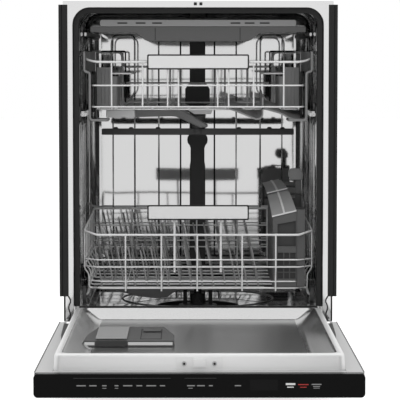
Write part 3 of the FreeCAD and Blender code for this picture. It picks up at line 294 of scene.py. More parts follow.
def pushed(axis, start, end, outline):
    """Rings of an outline pushed along an axis."""
    return [along(axis, outline, start), along(axis, outline, end)]


def bar(axis, start, end, *sides):
    """Rings of a straight bar along an axis."""
    return pushed(axis, start, end, rectangle(*sides))


def prisms(name, *solids):
    """One piece of closed prisms, each given by its rings."""
    shape = bmesh.new()
    for rings in solids:
        add_prism(shape, rings)
    return mesh_object(name, shape)


def extrusion(name, axis, start, end, *outlines):
    """One piece of one or more outlines, pushed along an axis."""
    return prisms(name, *[pushed(axis, start, end, outline) for outline in outlines])


def rectangle(u0, u1, v0, v1):
    """Corners of a plain outline."""
    return [(u0, v0), (u1, v0), (u1, v1), (u0, v1)]


def quarter_turn(steps, start=0):
    """Cosines and sines at even steps over a quarter of a turn."""
    angles = [math.radians(start + 90 * step / steps) for step in range(steps + 1)]
    return [(math.cos(angle), math.sin(angle)) for angle in angles]


def rounded_rectangle(u0, u1, v0, v1, radius, steps=ARC_STEPS):
    """Outline with round corners, from the lower left one."""
    left, right, low, high = u0 + radius, u1 - radius, v0 + radius, v1 - radius
    points = []
    for u, v, start in ((left, low, 180), (right, low, 270), (right, high, 0), (left, high, 90)):
        points += [(u + radius * c, v + radius * s) for c, s in quarter_turn(steps, start)]
    return points


def circle(x, y, z, radius, steps):
    """Level ring of points round a centre."""
    ring = []
    for step in range(steps):
        angle = math.tau * step / steps
        ring.append((x + radius * math.cos(angle), y + radius * math.sin(angle), z))
    return ring


def blocks(name, *bounds):
    """One piece of plain blocks, each given as x0, x1, y0, y1, z0, z1."""
    return prisms(name, *[bar("z", z0, z1, *sides) for *sides, z0, z1 in bounds])


def pair(x0, x1, *rest):
    """Bounds of a block and of its like on the left."""
    return [(x0, x1, *rest), (-x1, -x0, *rest)]


def mirrored(points):
    """The same points on the other side of the machine."""
    return [(-x, *rest) for x, *rest in points]


def both_sides(*lines):
    """Routes or outlines, and their likes on the other side."""
    return [*lines, *[mirrored(line) for line in lines]]


def across(right):
    """A route or outline that comes back over the other side."""
    return right + mirrored(right)[::-1]


def ribbon(path, thickness):
    """Closed outline of a strip that follows a flat path."""
    sides = ([], [])
    for i, (u, v) in enumerate(path):
        before = path[max(i - 1, 0)]
        after = path[min(i + 1, len(path) - 1)]
        du, dv = after[0] - before[0], after[1] - before[1]
        length = math.hypot(du, dv)
        nu, nv = -dv / length * thickness / 2, du / length * thickness / 2
        sides[0].append((u + nu, v + nv))
        sides[1].append((u - nu, v - nv))
    return sides[0] + sides[1][::-1]


def curved(path, radius, steps=4):
    """A route, flat or not, with its corners eased."""
    nearly_half = 0.49
    points = [Vector(p) for p in path]
    route = [points[0]]
    for before, corner, after in zip(points, points[1:], points[2:]):
        back, ahead = before - corner, after - corner
        reach = min(radius, nearly_half * back.length, nearly_half * ahead.length)
        start = corner + back.normalized() * reach
        end = corner + ahead.normalized() * reach
        for step in range(steps + 1):
            t = step / steps
            route.append(start * (1 - t) ** 2 + corner * 2 * t * (1 - t) + end * t * t)
    route.append(points[-1])
    return [tuple(p) for p in route]


def closed(path, radius):
    """A ring route with its corners eased. The path starts in the middle of a straight run."""
    return curved(list(path) + [path[0]], radius)


def level_loop(half, front, rear, z, radius):
    """Level ring route with eased corners."""
    return closed([(0, front, z), *across([(half, front, z), (half, rear, z)])], radius)


def wires(name, routes, radius, sides=2):
    """One piece of round wires."""
    curve = bpy.data.curves.new(name, "CURVE")
    curve.dimensions = "3D"
    curve.bevel_depth = radius * MM
    curve.bevel_resolution = sides
    curve.use_fill_caps = True
    for route in routes:
        ring = route[0] == route[-1]
        points = route[:-1] if ring else route
        spline = curve.splines.new("POLY")
        spline.points.add(len(points) - 1)
        spline.use_cyclic_u = ring
        spline.use_smooth = True
        for target, point in zip(spline.points, points):
            target.co = (*place(*point), 1.0)
    piece = bpy.data.objects.new(name, curve)
    bpy.context.scene.collection.objects.link(piece)
    return piece


def rack_wires(name, body, routes, radius, *nodes):
    """One piece of a rack's coated wires."""
    dress(wires(name, routes, radius), body, "wire", "wire", *nodes)


def spread(start, end, pitch):
    """Even places from start to end, about a pitch apart."""
    count = max(1, round((end - start) / pitch))
    return [start + (end - start) * i / count for i in range(count + 1)]


# Third rack


def shoulder_curve(x0, z0, x1, z1, steps=8):
    """Points of an S-shaped edge from one level to another."""
    points = []
    for step in range(steps + 1):
        t = step / steps
        ease = t * t * (3 - 2 * t)
        points.append((x0 + (x1 - x0) * t, z0 + (z1 - z0) * ease))
    return points


def third_rack_front():
    """Grey fascia with a dropped middle, its seams as thin black lines of painted shade, and black slot
    marks on the silver strip, painted shade and dark reflection.
    """
    half, drop_half, shoulder = 236.5, 106.0, 142.0
    side_z, drop_z, top_z = 782.0, 763.0, 796.0
    front, rear = 44.0, 52.0
    outline = shoulder_curve(-shoulder, side_z, -drop_half, drop_z)
    outline += shoulder_curve(drop_half, drop_z, shoulder, side_z)
    outline += [(half, side_z + 1), (half, top_z), (-half, top_z), (-half, side_z + 1)]
    fascia = soften(extrusion("third_rack_face", "y", front, rear, outline), 1.6, 3)
    dress(fascia, "third_rack", "grey_plastic", "dark_plastic", "third_rack_fascia")
    # Thin black lines at the seams: painted shade in the joints.
    seams = []
    for x in (-94.0, 92.0):
        seams.append((x - 0.7, x + 0.7, front - PROUD, front + 1, drop_z + 3, top_z - 3))
    dress(blocks("third_rack_seam_shade", *seams), "third_rack", "painted_recess_shade", "dark_plastic")
    face = behind_flange(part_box("third_rack_trim")[0].y)
    # Black slot marks standing proud of the silver strip, not cut holes: painted shade and dark reflection.
    slots = []
    for x in (-166, -126, -90, 82, 113, 146):
        slots.append(rounded_rectangle(x - 11, x + 11, 801.5, 804.5, 1.4, 3))
    slot_shade = extrusion("third_rack_slot_shade", "y", face - PROUD, face + 1, *slots)
    dress(slot_shade, "third_rack", "painted_recess_shade", "silver_trim")


def third_rack_wires():
    """Shallow tray of wires on two runners, deeper in the middle."""
    half, front, rear = 233.0, 54.0, 498.0
    floor, side_floor, top = 768.0, 786.0, 795.0
    well_half, slope, bend = 118.0, 8.0, 8.0
    corner, pitch = 14.0, 34.0
    rim = level_loop(half, front, rear, top, corner)
    rack_wires("third_rack_rims", "third_rack", [rim], RAIL_WIRE, "third_rack_tray")
    hoops = []
    for y in spread(front + corner, rear - corner, pitch):
        right = [(half, y, top), (half, y, side_floor)]
        right += [(well_half + slope, y, side_floor), (well_half - slope, y, floor)]
        hoops.append(curved(across(right), bend))
    for x in spread(corner - half, half - corner, pitch):
        level = floor if abs(x) < well_half else side_floor
        hoops.append(curved([(x, front, top), (x, front, level), (x, rear, level), (x, rear, top)], bend))
    rack_wires("third_rack_wires", "third_rack", hoops, TRAY_WIRE)
    runners = blocks("third_rack_runners", *pair(235, 257, 52, 500, 774, 782))
    dress(soften(runners, 1), "third_rack", "dark_plastic", "wire")


# Upper rack


def upper_rack_wires():
    """Basket of hoops and rails; the rear rail drops in the middle to clear the water feed."""
    half, front, rear, floor = UPPER_HALF, UPPER_FRONT, UPPER_REAR, UPPER_FLOOR
    front_floor = floor + 9
    top, side_top, notch_top, notch_half = 718.0, 741.0, 706.0, 183.0
    row_levels = (619.5, 666.5)
    wing = 247.6
    hoops = []
    for x in UPPER_COLUMNS:
        hoop = [(x, front, top), (x, front, front_floor), (x, rear, floor), (x, rear, notch_top)]
        hoops.append(curved(hoop, 8))
    for x in spread(-half + 12, half - 12, 40):
        hoops.append([(x, front + 8, front_floor), (x, rear - 8, floor)])
    for x in (-notch_half, notch_half):
        hoops.append([(x, rear, side_top), (x, rear, floor)])
    rack_wires("upper_rack_hoops", "upper_rack", hoops, WIRE, "upper_rack_walls")
    crossing = []
    for y in spread(front + 66, rear - 18, 40):
        level = front_floor - 3 + (floor - front_floor) * (y - front) / (rear - front)
        crossing.append([(-half, y, level), (half, y, level)])
    sides = [[(half, y, floor - 2), (half, y, row_levels[1])] for y in spread(front + 58, rear - 58, 44)]
    inner_leg = [(172, 300, 614), (149, 410, 646), (149, 410, 778)]
    outer_leg = [(205, 410, 778), (205, 410, 646), (228, 300, 614)]
    sides.append(curved(inner_leg + outer_leg, 17))
    floor_wires = crossing + both_sides(*sides)
    rack_wires("upper_rack_floor_wires", "upper_rack", floor_wires, WIRE, "upper_rack_floor")
    rows = [level_loop(half, front, rear, z, 18) for z in row_levels]
    rack_wires("upper_rack_rows", "upper_rack", rows, WIRE)
    right = [
        (226, front - 1, top),
        (wing, front + 20, top + 6),
        (wing, rear - 12, side_top),
        (wing - 12, rear, side_top),
        (notch_half, rear, side_top),
        (notch_half, rear, notch_top),
    ]
    rail = [(0, front - 1, top), *right, (0, rear, notch_top), *mirrored(right)[::-1]]
    rack_wires("upper_rack_rail", "upper_rack", [closed(rail, 13)], RAIL_WIRE)


def upper_rack_corners():
    """Moulded corners: a scooped wing at the top and an edged side panel under it."""
    wing, low, top, front, rear = 250, 697, 741, 40, 142
    scoop, run = 25, 46
    path = curved([(wing, top), (wing, low), (238, 695), (238, 590), (198, 590)], 8)
    edges = both_sides(ribbon(path, 5.0))
    frames = soften(extrusion("upper_rack_side_frames", "y", front, rear, *edges), 1.2)
    arc = [(wing - scoop * s, front + 4 + run * c) for c, s in quarter_turn(8)]
    scoops = both_sides(ribbon(arc, 2.0))
    wings = soften(extrusion("upper_rack_wings", "z", low, top, *scoops), 0.8)
    for piece in (frames, wings):
        dress(piece, "upper_rack", "smoke_plastic", "grey_plastic")
    panels = blocks("upper_rack_side_panels", *pair(226, 229, 60, rear, 594, 712))
    dress(soften(panels, 1), "upper_rack", "dark_plastic", "grey_plastic")


def upper_rack_screens():
    """Ribbed screens in the front corners, whose inner edges turn to the rear under the cup shelves."""
    inner, outer, y, low, high = 192.0, 226.0, 121.0, 614.0, 706.0
    edge_top = 686.0
    bounds = pair(inner, outer, y, y + 3, low, high)
    for x in (199, 207, 215):
        bounds += pair(x - 0.8, x + 0.8, y - 1.4, y, low + 4, high - 4)
    screens = blocks("upper_rack_screens", *bounds)
    path = curved([(inner, y + 1.5), (inner - 10, y + 4), (inner - 16, y + 34)], 8)
    turns = both_sides(ribbon(path, 3.0))
    edges = extrusion("upper_rack_screen_edges", "z", low, edge_top, *turns)
    for piece in (screens, edges):
        dress(soften(piece, 0.5), "upper_rack", "smoke_plastic", "grey_plastic")


def upper_rack_bowl():
    """Waved moulding under the right half of the rack, which rises to the rear."""
    front, rear, rise = 46, 190, 16
    first = curved([(62, 618), (92, 607), (118, 596), (131, 591), (142, 598), (142, 640)], 12)
    second = curved([(140, 617), (184, 605), (204, 592), (234, 590)], 14)
    waves = []
    for path in (first, second):
        outline = ribbon(path, 3.5)
        raised = [(x, z + rise) for x, z in outline]
        waves.append([along("y", outline, front), along("y", raised, rear)])
    bowl = soften(prisms("upper_rack_bowl", *waves), 0.8)
    dress(bowl, "upper_rack", "smoke_plastic", "grey_plastic")


def cup_shelf(name, side):
    """Fold-up shelf of wires beside the rack's wall."""
    outer, middle, inner = side * 227.0, side * 187.0, side * 147.0
    y0, y1, z = 130.0, 380.0, 692.0
    ring = [(middle, y0, z), (outer, y0, z), (outer, y1, z), (inner, y1, z), (inner, y0, z)]
    routes = [closed(ring, 12)]
    for y in spread(y0, y1, 42)[1:-1]:
        routes.append([(outer, y, z), (inner, y, z)])
    routes.append([(middle, y0, z), (middle, y1, z)])
    rack_wires(name + "_wires", name, routes, WIRE, name)


def glass_rods():
    """Rods beside the rear arches that steady tall glasses, in dark plastic: painted shade, as they stand
    unlit against the bright rear wall.
    """
    rod = curved([(228, 394, 743), (171, 394, 743), (171, 394, 622)], 4)
    dress(wires("glass_rods", both_sides(rod), WIRE), "upper_rack", "dark_plastic", "wire")


def rack_handle(name, body, z0, z1, node):
    """Satin bar in a dark frame, with a paler back whose pale grey is painted light, for the light that the
    mirror wall throws onto it.
    """
    front = behind_flange(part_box(node)[0].y)
    half, inset, margin = 111.0, 2.4, 0.6
    face = rounded_rectangle(inset - half, half - inset, z0 + inset, z1 - inset, 2.0, 3)
    satin = soften(extrusion(name + "_face", "y", front, front + 5, face), 0.8)
    dress(satin, body, "silver_trim", "silver_trim", node)
    outline = rounded_rectangle(-half - margin, half + margin, z0 - margin, z1 + margin, 3.0, 3)
    edge = soften(extrusion(name + "_frame", "y", front + 2.5, front + 6, outline), 1)
    dress(edge, body, "dark_plastic", "silver_trim")
    # Pale back: painted light from the mirror wall behind the racks.
    back = soften(extrusion(name + "_back", "y", front + 6, front + 9, face), 1)
    dress(back, body, "handle_back_painted_light", "silver_trim")


def upper_rack_feed():
    """Duct under the rack that slants down to the middle spray arm, with a pale end to its branch."""
    upper_edge = [(-150, 607), (-42, 608), (-30, 605), (22, 574), (24, 570)]
    lower_edge = [(20, 567), (6, 566), (-50, 592), (-62, 593), (-150, 591)]
    duct = soften(extrusion("upper_feed_duct", "y", 255, 295, upper_edge + lower_edge), 3, 3)
    dress(duct, "upper_rack", "smoke_plastic", "dark_plastic", "spray_manifold")
    spine = soften(blocks("upper_feed_spine", (-18, 18, 294, 519.5, 588.7, 605.7)), 3, 3)
    hub = extrusion("upper_feed_hub", "z", 564.4, 592, rounded_rectangle(-14, 14, 261, 289, 13.9))
    for piece in (spine, hub):
        dress(piece, "upper_rack", "grey_plastic", "dark_plastic")
    end = soften(extrusion("upper_feed_end", "y", 253, 297, rectangle(-211, -144, 590, 607.5)), 2, 3)
    dress(end, "upper_rack", "silver_trim", "dark_plastic")
    corners = [(-24, 608), (34, 608), (30, 598), (-8, 598)]
    plate = soften(extrusion("upper_feed_plate", "y", 252, 254.5, corners), 0.8)
    dress(plate, "upper_rack", "light_plastic", "dark_plastic")


def runner_caps(name, body, slot, y, z):
    """Pale guides on the front ends of a pair of rails or runners."""
    ovals = []
    for x in (-256, -247.5, 247.5, 256):
        ovals.append(rounded_rectangle(x - 2.6, x + 2.6, z - 4.2, z + 4.2, 2.5, 4))
    caps = soften(extrusion(name, "y", y, y + 4, *ovals), 0.8)
    dress(caps, body, "light_plastic", slot)


def arm_jets(name, body, y, top, xs):
    """Small raised jets along a spray arm, to the front and the rear by turns."""
    profile = ((6.5, top - 1), (5.0, top + 2), (3.2, top + 3.6))
    jets = []
    for x, shift in zip(xs, (4, -5, 5, -5, 5, -4)):
        jets.append([circle(x, y + shift, z, radius, 12) for radius, z in profile])
    dress(prisms(name, *jets), body, "arm_plastic", "arm_plastic")


# Lower rack


def lower_loop(z, inset=0.0, rise=0.0):
    """Ring route with cut front corners, whose sides may rise to the rear."""
    x, y = LOWER_HALF - inset, LOWER_FRONT + inset
    right = [
        (LOWER_FRONT_HALF - inset, y, z),
        (x, y + LOWER_CUT, z + CORNER_RISE * rise),
        (x, LOWER_REAR, z + rise),
    ]
    return closed([(0, y, z), *across(right)], 6)


def lower_rack_wires():
    """Basket of hoops that step in below the rim, with a rail that rises to the rear."""
    half, foot, floor = LOWER_HALF, LOWER_FOOT_HALF, LOWER_FLOOR
    front, side_front, rear = LOWER_FRONT, LOWER_FRONT + LOWER_CUT, LOWER_REAR
    step_low, step_high = LOWER_STEP
    front_top, rise = 338.0, 23.0
    before, behind = front - 1, front + 6
    uprights = []
    for x in LOWER_COLUMNS:
        upright = [(x, before, front_top + 3), (x, before, step_high)]
        upright += [(x, behind, step_low), (x, behind, floor - 7)]
        uprights.append(curved(upright, 5))
        uprights.append(curved([(x, behind, floor), (x, rear, floor), (x, rear, front_top + rise)], 9))
    rack_wires("lower_rack_columns", "lower_rack", uprights, WIRE, "lower_rack_walls")
    hoops = []
    for y in spread(side_front, rear - 20, 72):
        run = (y - side_front) / (rear - side_front)
        top = front_top + rise * (CORNER_RISE + (1 - CORNER_RISE) * run)
        right = [(half, y, top), (half, y, step_high), (foot, y, step_low), (foot, y, floor - 2)]
        hoops.append(curved(across(right), 6))
    rack_wires("lower_rack_floor_wires", "lower_rack", hoops, THIN_WIRE, "lower_rack_floor")
    rows = [lower_loop(283.0), lower_loop(267.0), lower_loop(234.0, 9.0), lower_loop(219.0, 9.0)]
    rows.append([(-half, rear, 320), (half, rear, 320)])
    rack_wires("lower_rack_rows", "lower_rack", rows, THIN_WIRE)
    rack_wires("lower_rack_rail", "lower_rack", [lower_loop(front_top, rise=rise)], RAIL_WIRE)
    brackets = []
    for y in (95.0, 455.0):
        brackets.append(curved([(foot, y, floor - 2), (foot + 5, y, 200), (foot + 12, y, 200)], 4))
    rack_wires("lower_wheel_brackets", "lower_rack", both_sides(*brackets), RAIL_WIRE)


def lower_rack_posts():
    """Two uprights that hold the handle above the front rail."""
    posts = [[(x, 35, 380), (x, 35, 255)] for x in (-52.0, 50.0)]
    rack_wires("lower_handle_posts", "lower_rack", posts, RAIL_WIRE)


def tine(x, y, base, height):
    """Route of one leaning tine."""
    return curved([(x, y, base), (x - 2, y, base + 20), (x - TINE_LEAN * height, y, base + height)], 12)


def tine_row(name, body, xs):
    """Rows of leaning tines on wires that run to the rear."""
    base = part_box(name)[0].z / MM + TINE_WIRE
    routes = []
    for x in xs:
        routes.append([(x, TINE_ROWS[0] - 6, base), (x, TINE_ROWS[-1] + 6, base)])
        routes += [tine(x, y, base, TINE_HEIGHT) for y in TINE_ROWS]
    # The tines take the darker copy of the wire: painted shade.
    dress(wires(name + "_wires", routes, TINE_WIRE), body, "tine_wire_painted_shade", "wire", name)


def cross_tines():
    """Further tines on wires across the rack, taller to the rear and clear of the folding ones."""
    base = LOWER_FLOOR - 4
    routes = []
    for y, height in ((93.5, 92), (255.5, 104), (417.5, 118)):
        routes.append([(-224, y, base), (148, y, base)])
        for x in (-215, -165, -140, -90, -65, -15, 10, 35, 85, 110, 135):
            routes.append(tine(x, y, base, height))
    # The tines take the darker copy of the wire: painted shade.
    dress(wires("cross_tines", routes, TINE_WIRE), "lower_rack", "tine_wire_painted_shade", "wire")


# Cutlery basket

BASKET_X = (165.0, 236.0)
BASKET_Y = (42.0, 345.0)
BASKET_BASE = 222.3
BASKET_TOPS = (381.0, 440.0)
BASKET_ARCH = 12.0
BASKET_TILT = 0.24
BASKET_WALL = 2.6
BASKET_SLAT = 6.0


def basket_edge(y):
    """Height of the sloping and slightly arched upper edge."""
    (y0, y1), (z0, z1) = BASKET_Y, BASKET_TOPS
    t = (y - y0) / (y1 - y0)
    return z0 + (z1 - z0) * t + 4 * BASKET_ARCH * t * (1 - t)


def basket_tilt(x):
    """The edge is higher to the right."""
    return BASKET_TILT * (x - BASKET_X[0] - 20)


def basket_front():
    """Front with a window over a grid, and a column at its right."""
    x0, x1 = BASKET_X
    y0 = BASKET_Y[0]
    inner, outer, column = x0 + 10.5, x0 + 50.5, x0 + 52.5
    back = y0 + BASKET_WALL
    grid_low, grid_high, sill = 240, 297.5, 312
    head_left, head_right = 361, 368
    under = [(x0, head_left), (inner, head_left), (outer, head_right), (column, head_right)]
    solids = [
        bar("y", y0, back, x0, inner, BASKET_BASE, head_left),
        bar("y", y0, back, outer, column, BASKET_BASE, head_right),
        bar("y", y0, back, inner, outer, BASKET_BASE, grid_low),
        bar("y", y0, back, inner, outer, grid_high, sill),
        pushed("y", y0, back, under + [(column, 388), (x0, 375)]),
        bar("y", y0 + 1, y0 + 15, column + 0.5, x1, BASKET_BASE, 393),
    ]
    for x in (x0 + 23, x0 + 36):
        solids.append(bar("y", y0 + 0.4, back - 0.4, x, x + 2.4, grid_low, grid_high))
    for z in (253, 267.5, 282):
        solids.append(bar("y", y0 + 0.6, back - 0.6, inner, outer, z, z + 2.4))
    return solids


def basket_sides():
    """Slats and rows of the two long sides."""
    base, wall, front = BASKET_BASE, BASKET_WALL, BASKET_Y[0] + 15.5
    rear = BASKET_Y[1]
    solids = []
    for x in (BASKET_X[0], BASKET_X[1] - wall):
        drop = 8 - basket_tilt(x)
        for y in spread(front, rear - 9, 22):
            end = y + BASKET_SLAT
            slat = [(y, base), (end, base), (end, basket_edge(end) - drop), (y, basket_edge(y) - drop)]
            solids.append(pushed("x", x, x + wall, slat))
        for z in (base + 4, base + 44, base + 84, base + 124):
            solids.append(bar("x", x + 0.4, x + wall - 0.4, front, rear - 3, z, z + BASKET_SLAT))
    return solids


def basket_body():
    """Tall basket with a sloping edge, slatted sides and a divider."""
    (x0, x1), (y0, y1) = BASKET_X, BASKET_Y
    base, wall, slat = BASKET_BASE, BASKET_WALL, BASKET_SLAT
    inside = (x0 + wall, x1 - wall)
    middle = (y0 + y1) / 2
    solids = basket_front() + basket_sides()
    for x in spread(x0, x1 - slat, 16):
        solids.append(bar("y", y1 - wall, y1, x, x + slat, base, BASKET_TOPS[0] + 12))
    for z in spread(base + 4, BASKET_TOPS[0] + 5, 26):
        solids.append(bar("y", y1 - wall + 0.4, y1 - 0.4, x0, x1, z, z + slat))
    solids.append(bar("z", base + 0.3, base + wall, *inside, y0 + wall, y1 - wall))
    solids.append(bar("y", middle - 2, middle + 2, *inside, base + wall, basket_edge(middle) - 14))
    body = soften(prisms("basket_body", *solids), 0.4, 1)
    dress(body, "basket", "grey_plastic", "dark_plastic", "cutlery_basket")
    # Paler sheet inside the rear wall: painted light, for what the mirror wall throws back onto the basket's
    # rear.
    sheet = (x0 + 1, x1 - 1, y1 - wall - 1.4, y1 - wall - 0.2, 300, BASKET_TOPS[1] - 3)
    dress(blocks("basket_rear_light_sheet", sheet), "basket", "lid_grey", "dark_plastic")
    # Dark sheet behind the front window: painted shade of the basket's inside.
    shade = blocks("basket_window_shade", (x0 + 7, x0 + 53, y0 + 7, y0 + 9, 232, 366))
    dress(shade, "basket", "foot_plastic", "dark_plastic")


def basket_handle():
    """Stem and grip that stand up between the lids."""
    stem = soften(extrusion("basket_stem", "y", 190, 195.5, rectangle(221.5, 235.5, 300, 455)), 1.2)
    dress(stem, "basket", "grey_plastic", "dark_plastic")
    outline = [(205, 459), (206, 470), (211, 476), (231, 477), (240, 464), (239, 450), (212, 449)]
    grip = soften(extrusion("basket_grip", "y", 184, 196, outline), 2.4, 3)
    dress(grip, "basket", "smoke_plastic", "dark_plastic")


def basket_lid(name, y0, y1):
    """Arched lid that narrows to the rear, with a pale rib and front edge and two hinge straps."""
    left, right = BASKET_X[0] - 2, BASKET_X[0] + 52
    hinge_x, strap = 235.5, 10
    # How far the lid's edges and its rib move to the left over the basket's length
    edge_drift, rib_drift = {left: 11, right: 25}, 18

    def side(x, y):
        t = (y - BASKET_Y[0]) / (BASKET_Y[1] - BASKET_Y[0])
        return x - edge_drift.get(x, rib_drift) * t

    def strip(a, b, rows, low, high):
        rings = []
        for y in rows:
            ring = []
            for x, lift in rectangle(a, b, low, high):
                px = side(x, y)
                ring.append((px, y, basket_edge(y) + basket_tilt(px) + lift))
            rings.append(ring)
        return rings

    rows = spread(y0, y1, 22)
    middle = (left + right) / 2
    plate = soften(prisms(name + "_plate", strip(left, right, rows, 0.5, 2.6)), 0.5, 1)
    dress(plate, name, "lid_plastic", "dark_plastic", name)
    rib = strip(middle - 2, middle + 2, rows, 2.4, 4.2)
    edge = strip(left, right, [y0 - 1, y0 + 1.5], 0.8, 3.2)
    dress(prisms(name + "_rib", rib, edge), name, "light_plastic", "dark_plastic")
    straps = []
    for y in (y0 + 25, y1 - 25):
        end = y + strap
        low, high = basket_edge(y), basket_edge(end)
        x = side(right, y) - 4
        ring = [(x, y, low + 4), (hinge_x, y, low + 1), (hinge_x, end, high + 1), (x, end, high + 4)]
        straps.append([ring, [(px, py, pz + 2) for px, py, pz in ring]])
    dress(prisms(name + "_straps", *straps), name, "foot_plastic", "dark_plastic")


# Door


def door_liner():
    """Pressed liner: a raised round rim, satin outside, and a shallow basin with tight lower corners."""
    satin_rows, slope_rows = 5, 10
    # Half width, front, rear, height and corner radius of each ring, from the outside in
    loops = [
        (270, -700, -8, 149.8, 12),
        (268.6, -698.6, -8, 175, 12),
        (268, -698, -8.4, 178.6, 12),
        (266.4, -696.4, -9.2, 181, 12),
        (264, -694, -10.4, 182, 12),
        (255, -688, -11.4, 182, 14),
        (252.6, -685, -12.2, 181.2, 15),
        (250, -682.4, -13, 179.4, 16),
        (221, -653, -15.4, 160, 7),
        (217, -648, -17, 157.6, 6),
        (210, -641, -20, 156.4, 6),
        (208, -639, -22, 156.4, 6),
    ]
    rings = []
    for half, front, rear, z, radius in loops:
        rings.append(along("z", rounded_rectangle(-half, half, front, rear, radius), z))
    count = len(rings[0])
    shape = bmesh.new()
    add_prism(shape, rings, lids=False)
    shape.verts.ensure_lookup_table()
    shape.faces.new(shape.verts[-count:])
    piece = mesh_object("door_liner", shape)
    dress(piece, "door", "liner_steel", "liner_steel", "door_inner_panel")
    piece.data.materials.append(look["satin_steel"])
    piece.data.materials.append(look["basin_steel"])
    for face in piece.data.polygons[:satin_rows * count]:
        face.material_index = 1
    for face in piece.data.polygons[slope_rows * count:]:
        face.material_index = 2


def door_flange():
    """Flat flange outside the rim with dark seals on its outer edges and dark strips beside the rim, painted
    shadow of the gap there; at the hinges, straps as dark upright strips painted as the shade of the hinge
    slots, and the hinge cords.
    """
    side = [(303, -720), (303, -12), (287.2, -12), (287.2, -45.2)]
    side += [(272.8, -45.2), (272.8, -5), (270.5, -5), (270.5, -720)]
    front = rectangle(-270, 270, -720, -700.4)
    flange = extrusion("door_flange", "z", 149.6, 151, *both_sides(side), front)
    dress(flange, "door", "flange_steel", "liner_steel")
    # Dark strips beside the rim: painted shadow of the gap between rim and flange.
    gap_outline = [(291, -46), (286, -218), (276.5, -364), (271.5, -404), (271.5, -388), (278, -218), (281, -46)]
    gap_shade = extrusion("door_side_gap_shade", "z", 151, 152.4, *both_sides(gap_outline))
    edges = blocks("door_edge_seals", *pair(301.6, 303, -718, -13, 151, 152))
    for piece in (gap_shade, edges):
        dress(piece, "door", "gasket_rubber", "gasket_rubber")
    # Dark upright strips at the hinges: painted shade of the hinge slots.
    straps = blocks("hinge_slot_shade", *pair(290.5, 294, -2.2, -0.4, 152, 206))
    cord = [(284, 206), (278, 196), (285, 182), (279, 166), (283, 153)]
    route = curved([(x, -1.7, z) for x, z in cord], 8)
    cords = wires("hinge_cords", both_sides(route), 1.4)
    for piece in (straps, cords):
        dress(piece, "cabinet", "gasket_rubber", "black_trim")


def liner_front_plate():
    """Faint raised plate round the latch on the front of the rim, and the sockets of its screws as black
    discs, painted shade.
    """
    plate = rounded_rectangle(-43, 43, 154, 177, 3, 4)
    face = soften(extrusion("latch_plate", "y", -700.8, -699, plate), 0.4)
    dress(face, "door", "satin_steel", "liner_steel")
    # Black discs for the screw sockets: painted shade.
    sockets = [rounded_rectangle(x - 2.3, x + 2.3, 161.7, 166.3, 2.2, 4) for x in (-28, 28)]
    dress(extrusion("screw_socket_shade", "y", -703.2, -702, *sockets), "door", "painted_recess_shade", "zinc_steel")


def control_marks():
    """Plain bars and a display on the front of the control panel."""
    face = behind_flange(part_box("control_panel")[0].y)
    # Columns count from the panel's middle and rows from a line near its top, in steps of this size.
    step, top = 1.81094, 144.176

    def mark(left, right, high, low):
        return rectangle(left * step, right * step, top - low * step, top - high * step)

    def show(name, finish, marks, proud=PROUD):
        dress(extrusion(name, "y", face - proud, face + 0.5, *marks), "door", finish, "black_panel")

    programs = [(-124.5, -114), (-111.5, -103), (-98.5, -93), (-86, -81), (-77.5, -67), (-64, -57)]
    options = [(-54, -43), (-40.4, -34), (-13, -4), (-3, 6), (9, 14), (35, 42.5)]
    bars = [mark(a + 0.6, b - 0.6, 7.6, 8.7) for a, b in programs + options]
    for a, b in ((-98.5, -93), (-86, -81), (-12, -6), (114, 122)):
        bars.append(mark(a + 0.8, b - 0.8, 10.4, 11))
    bars += [mark(113, 123, 6.4, 7.4), mark(114.5, 121.5, 8.6, 9.4)]
    show("panel_marks", "mark_grey", bars)
    show("panel_start_mark", "mark_pale", [mark(87, 96.6, 5.6, 7.6), mark(88.4, 95, 9.2, 10.2)])
    show("panel_stop_mark", "mark_red", [mark(99.5, 110, 6.6, 7.6), mark(101.5, 108, 9.4, 10.2)])
    show("panel_lines", "foot_plastic", [mark(-127, -29, 0.4, 0.7), mark(-15, 17, 0.4, 0.7)])
    show("panel_display", "display_glass", [mark(51, 79, 2, 13)], proud=0.2)


# Dispenser

DISPENSER_FRONT = -434.0
DISPENSER_REAR = -272.0
DISPENSER_TOPS = (170.0, 175.5)


def dispenser_top(y):
    """Height of the top, which falls a little to the front."""
    low, high = DISPENSER_TOPS
    return low + (high - low) * (y - DISPENSER_FRONT) / (DISPENSER_REAR - DISPENSER_FRONT)


def dispenser_plate(outline, low, high):
    """Rings of a plate that follows the dispenser's top between two lifts."""
    return [[(x, y, dispenser_top(y) + lift) for x, y in outline] for lift in (low, high)]


def dispenser_housing():
    """Low body with cut corners and an open detergent cup."""
    front, rear = DISPENSER_FRONT, DISPENSER_REAR
    outline = [(-228, front), (-49, front), (-49, -370), (-71, rear), (-204, rear)]
    outline += [(-222, -362), (-228, -426)]
    cup = rectangle(-199, -147, -428, -334)
    under, cup_floor = 156.5, 159.0
    shape = bmesh.new()
    for ring, foot in ((outline, under), (cup, cup_floor)):
        top = [(x, y, dispenser_top(y)) for x, y in ring]
        add_prism(shape, [along("z", ring, foot), top], lids=False)
    rims = {"under": [], "cup": [], "top": []}
    for edge in shape.edges:
        if edge.is_boundary:
            lift = min(vert.co.z for vert in edge.verts) / MM
            rims["under" if lift < under + 1 else "cup" if lift < cup_floor + 1 else "top"].append(edge)
    for rim in rims.values():
        bmesh.ops.triangle_fill(shape, edges=rim, use_dissolve=False)
    housing = soften(mesh_object("dispenser_housing", shape), 1.2)
    dress(housing, "door", "grey_plastic", "grey_plastic", "dispenser_body")


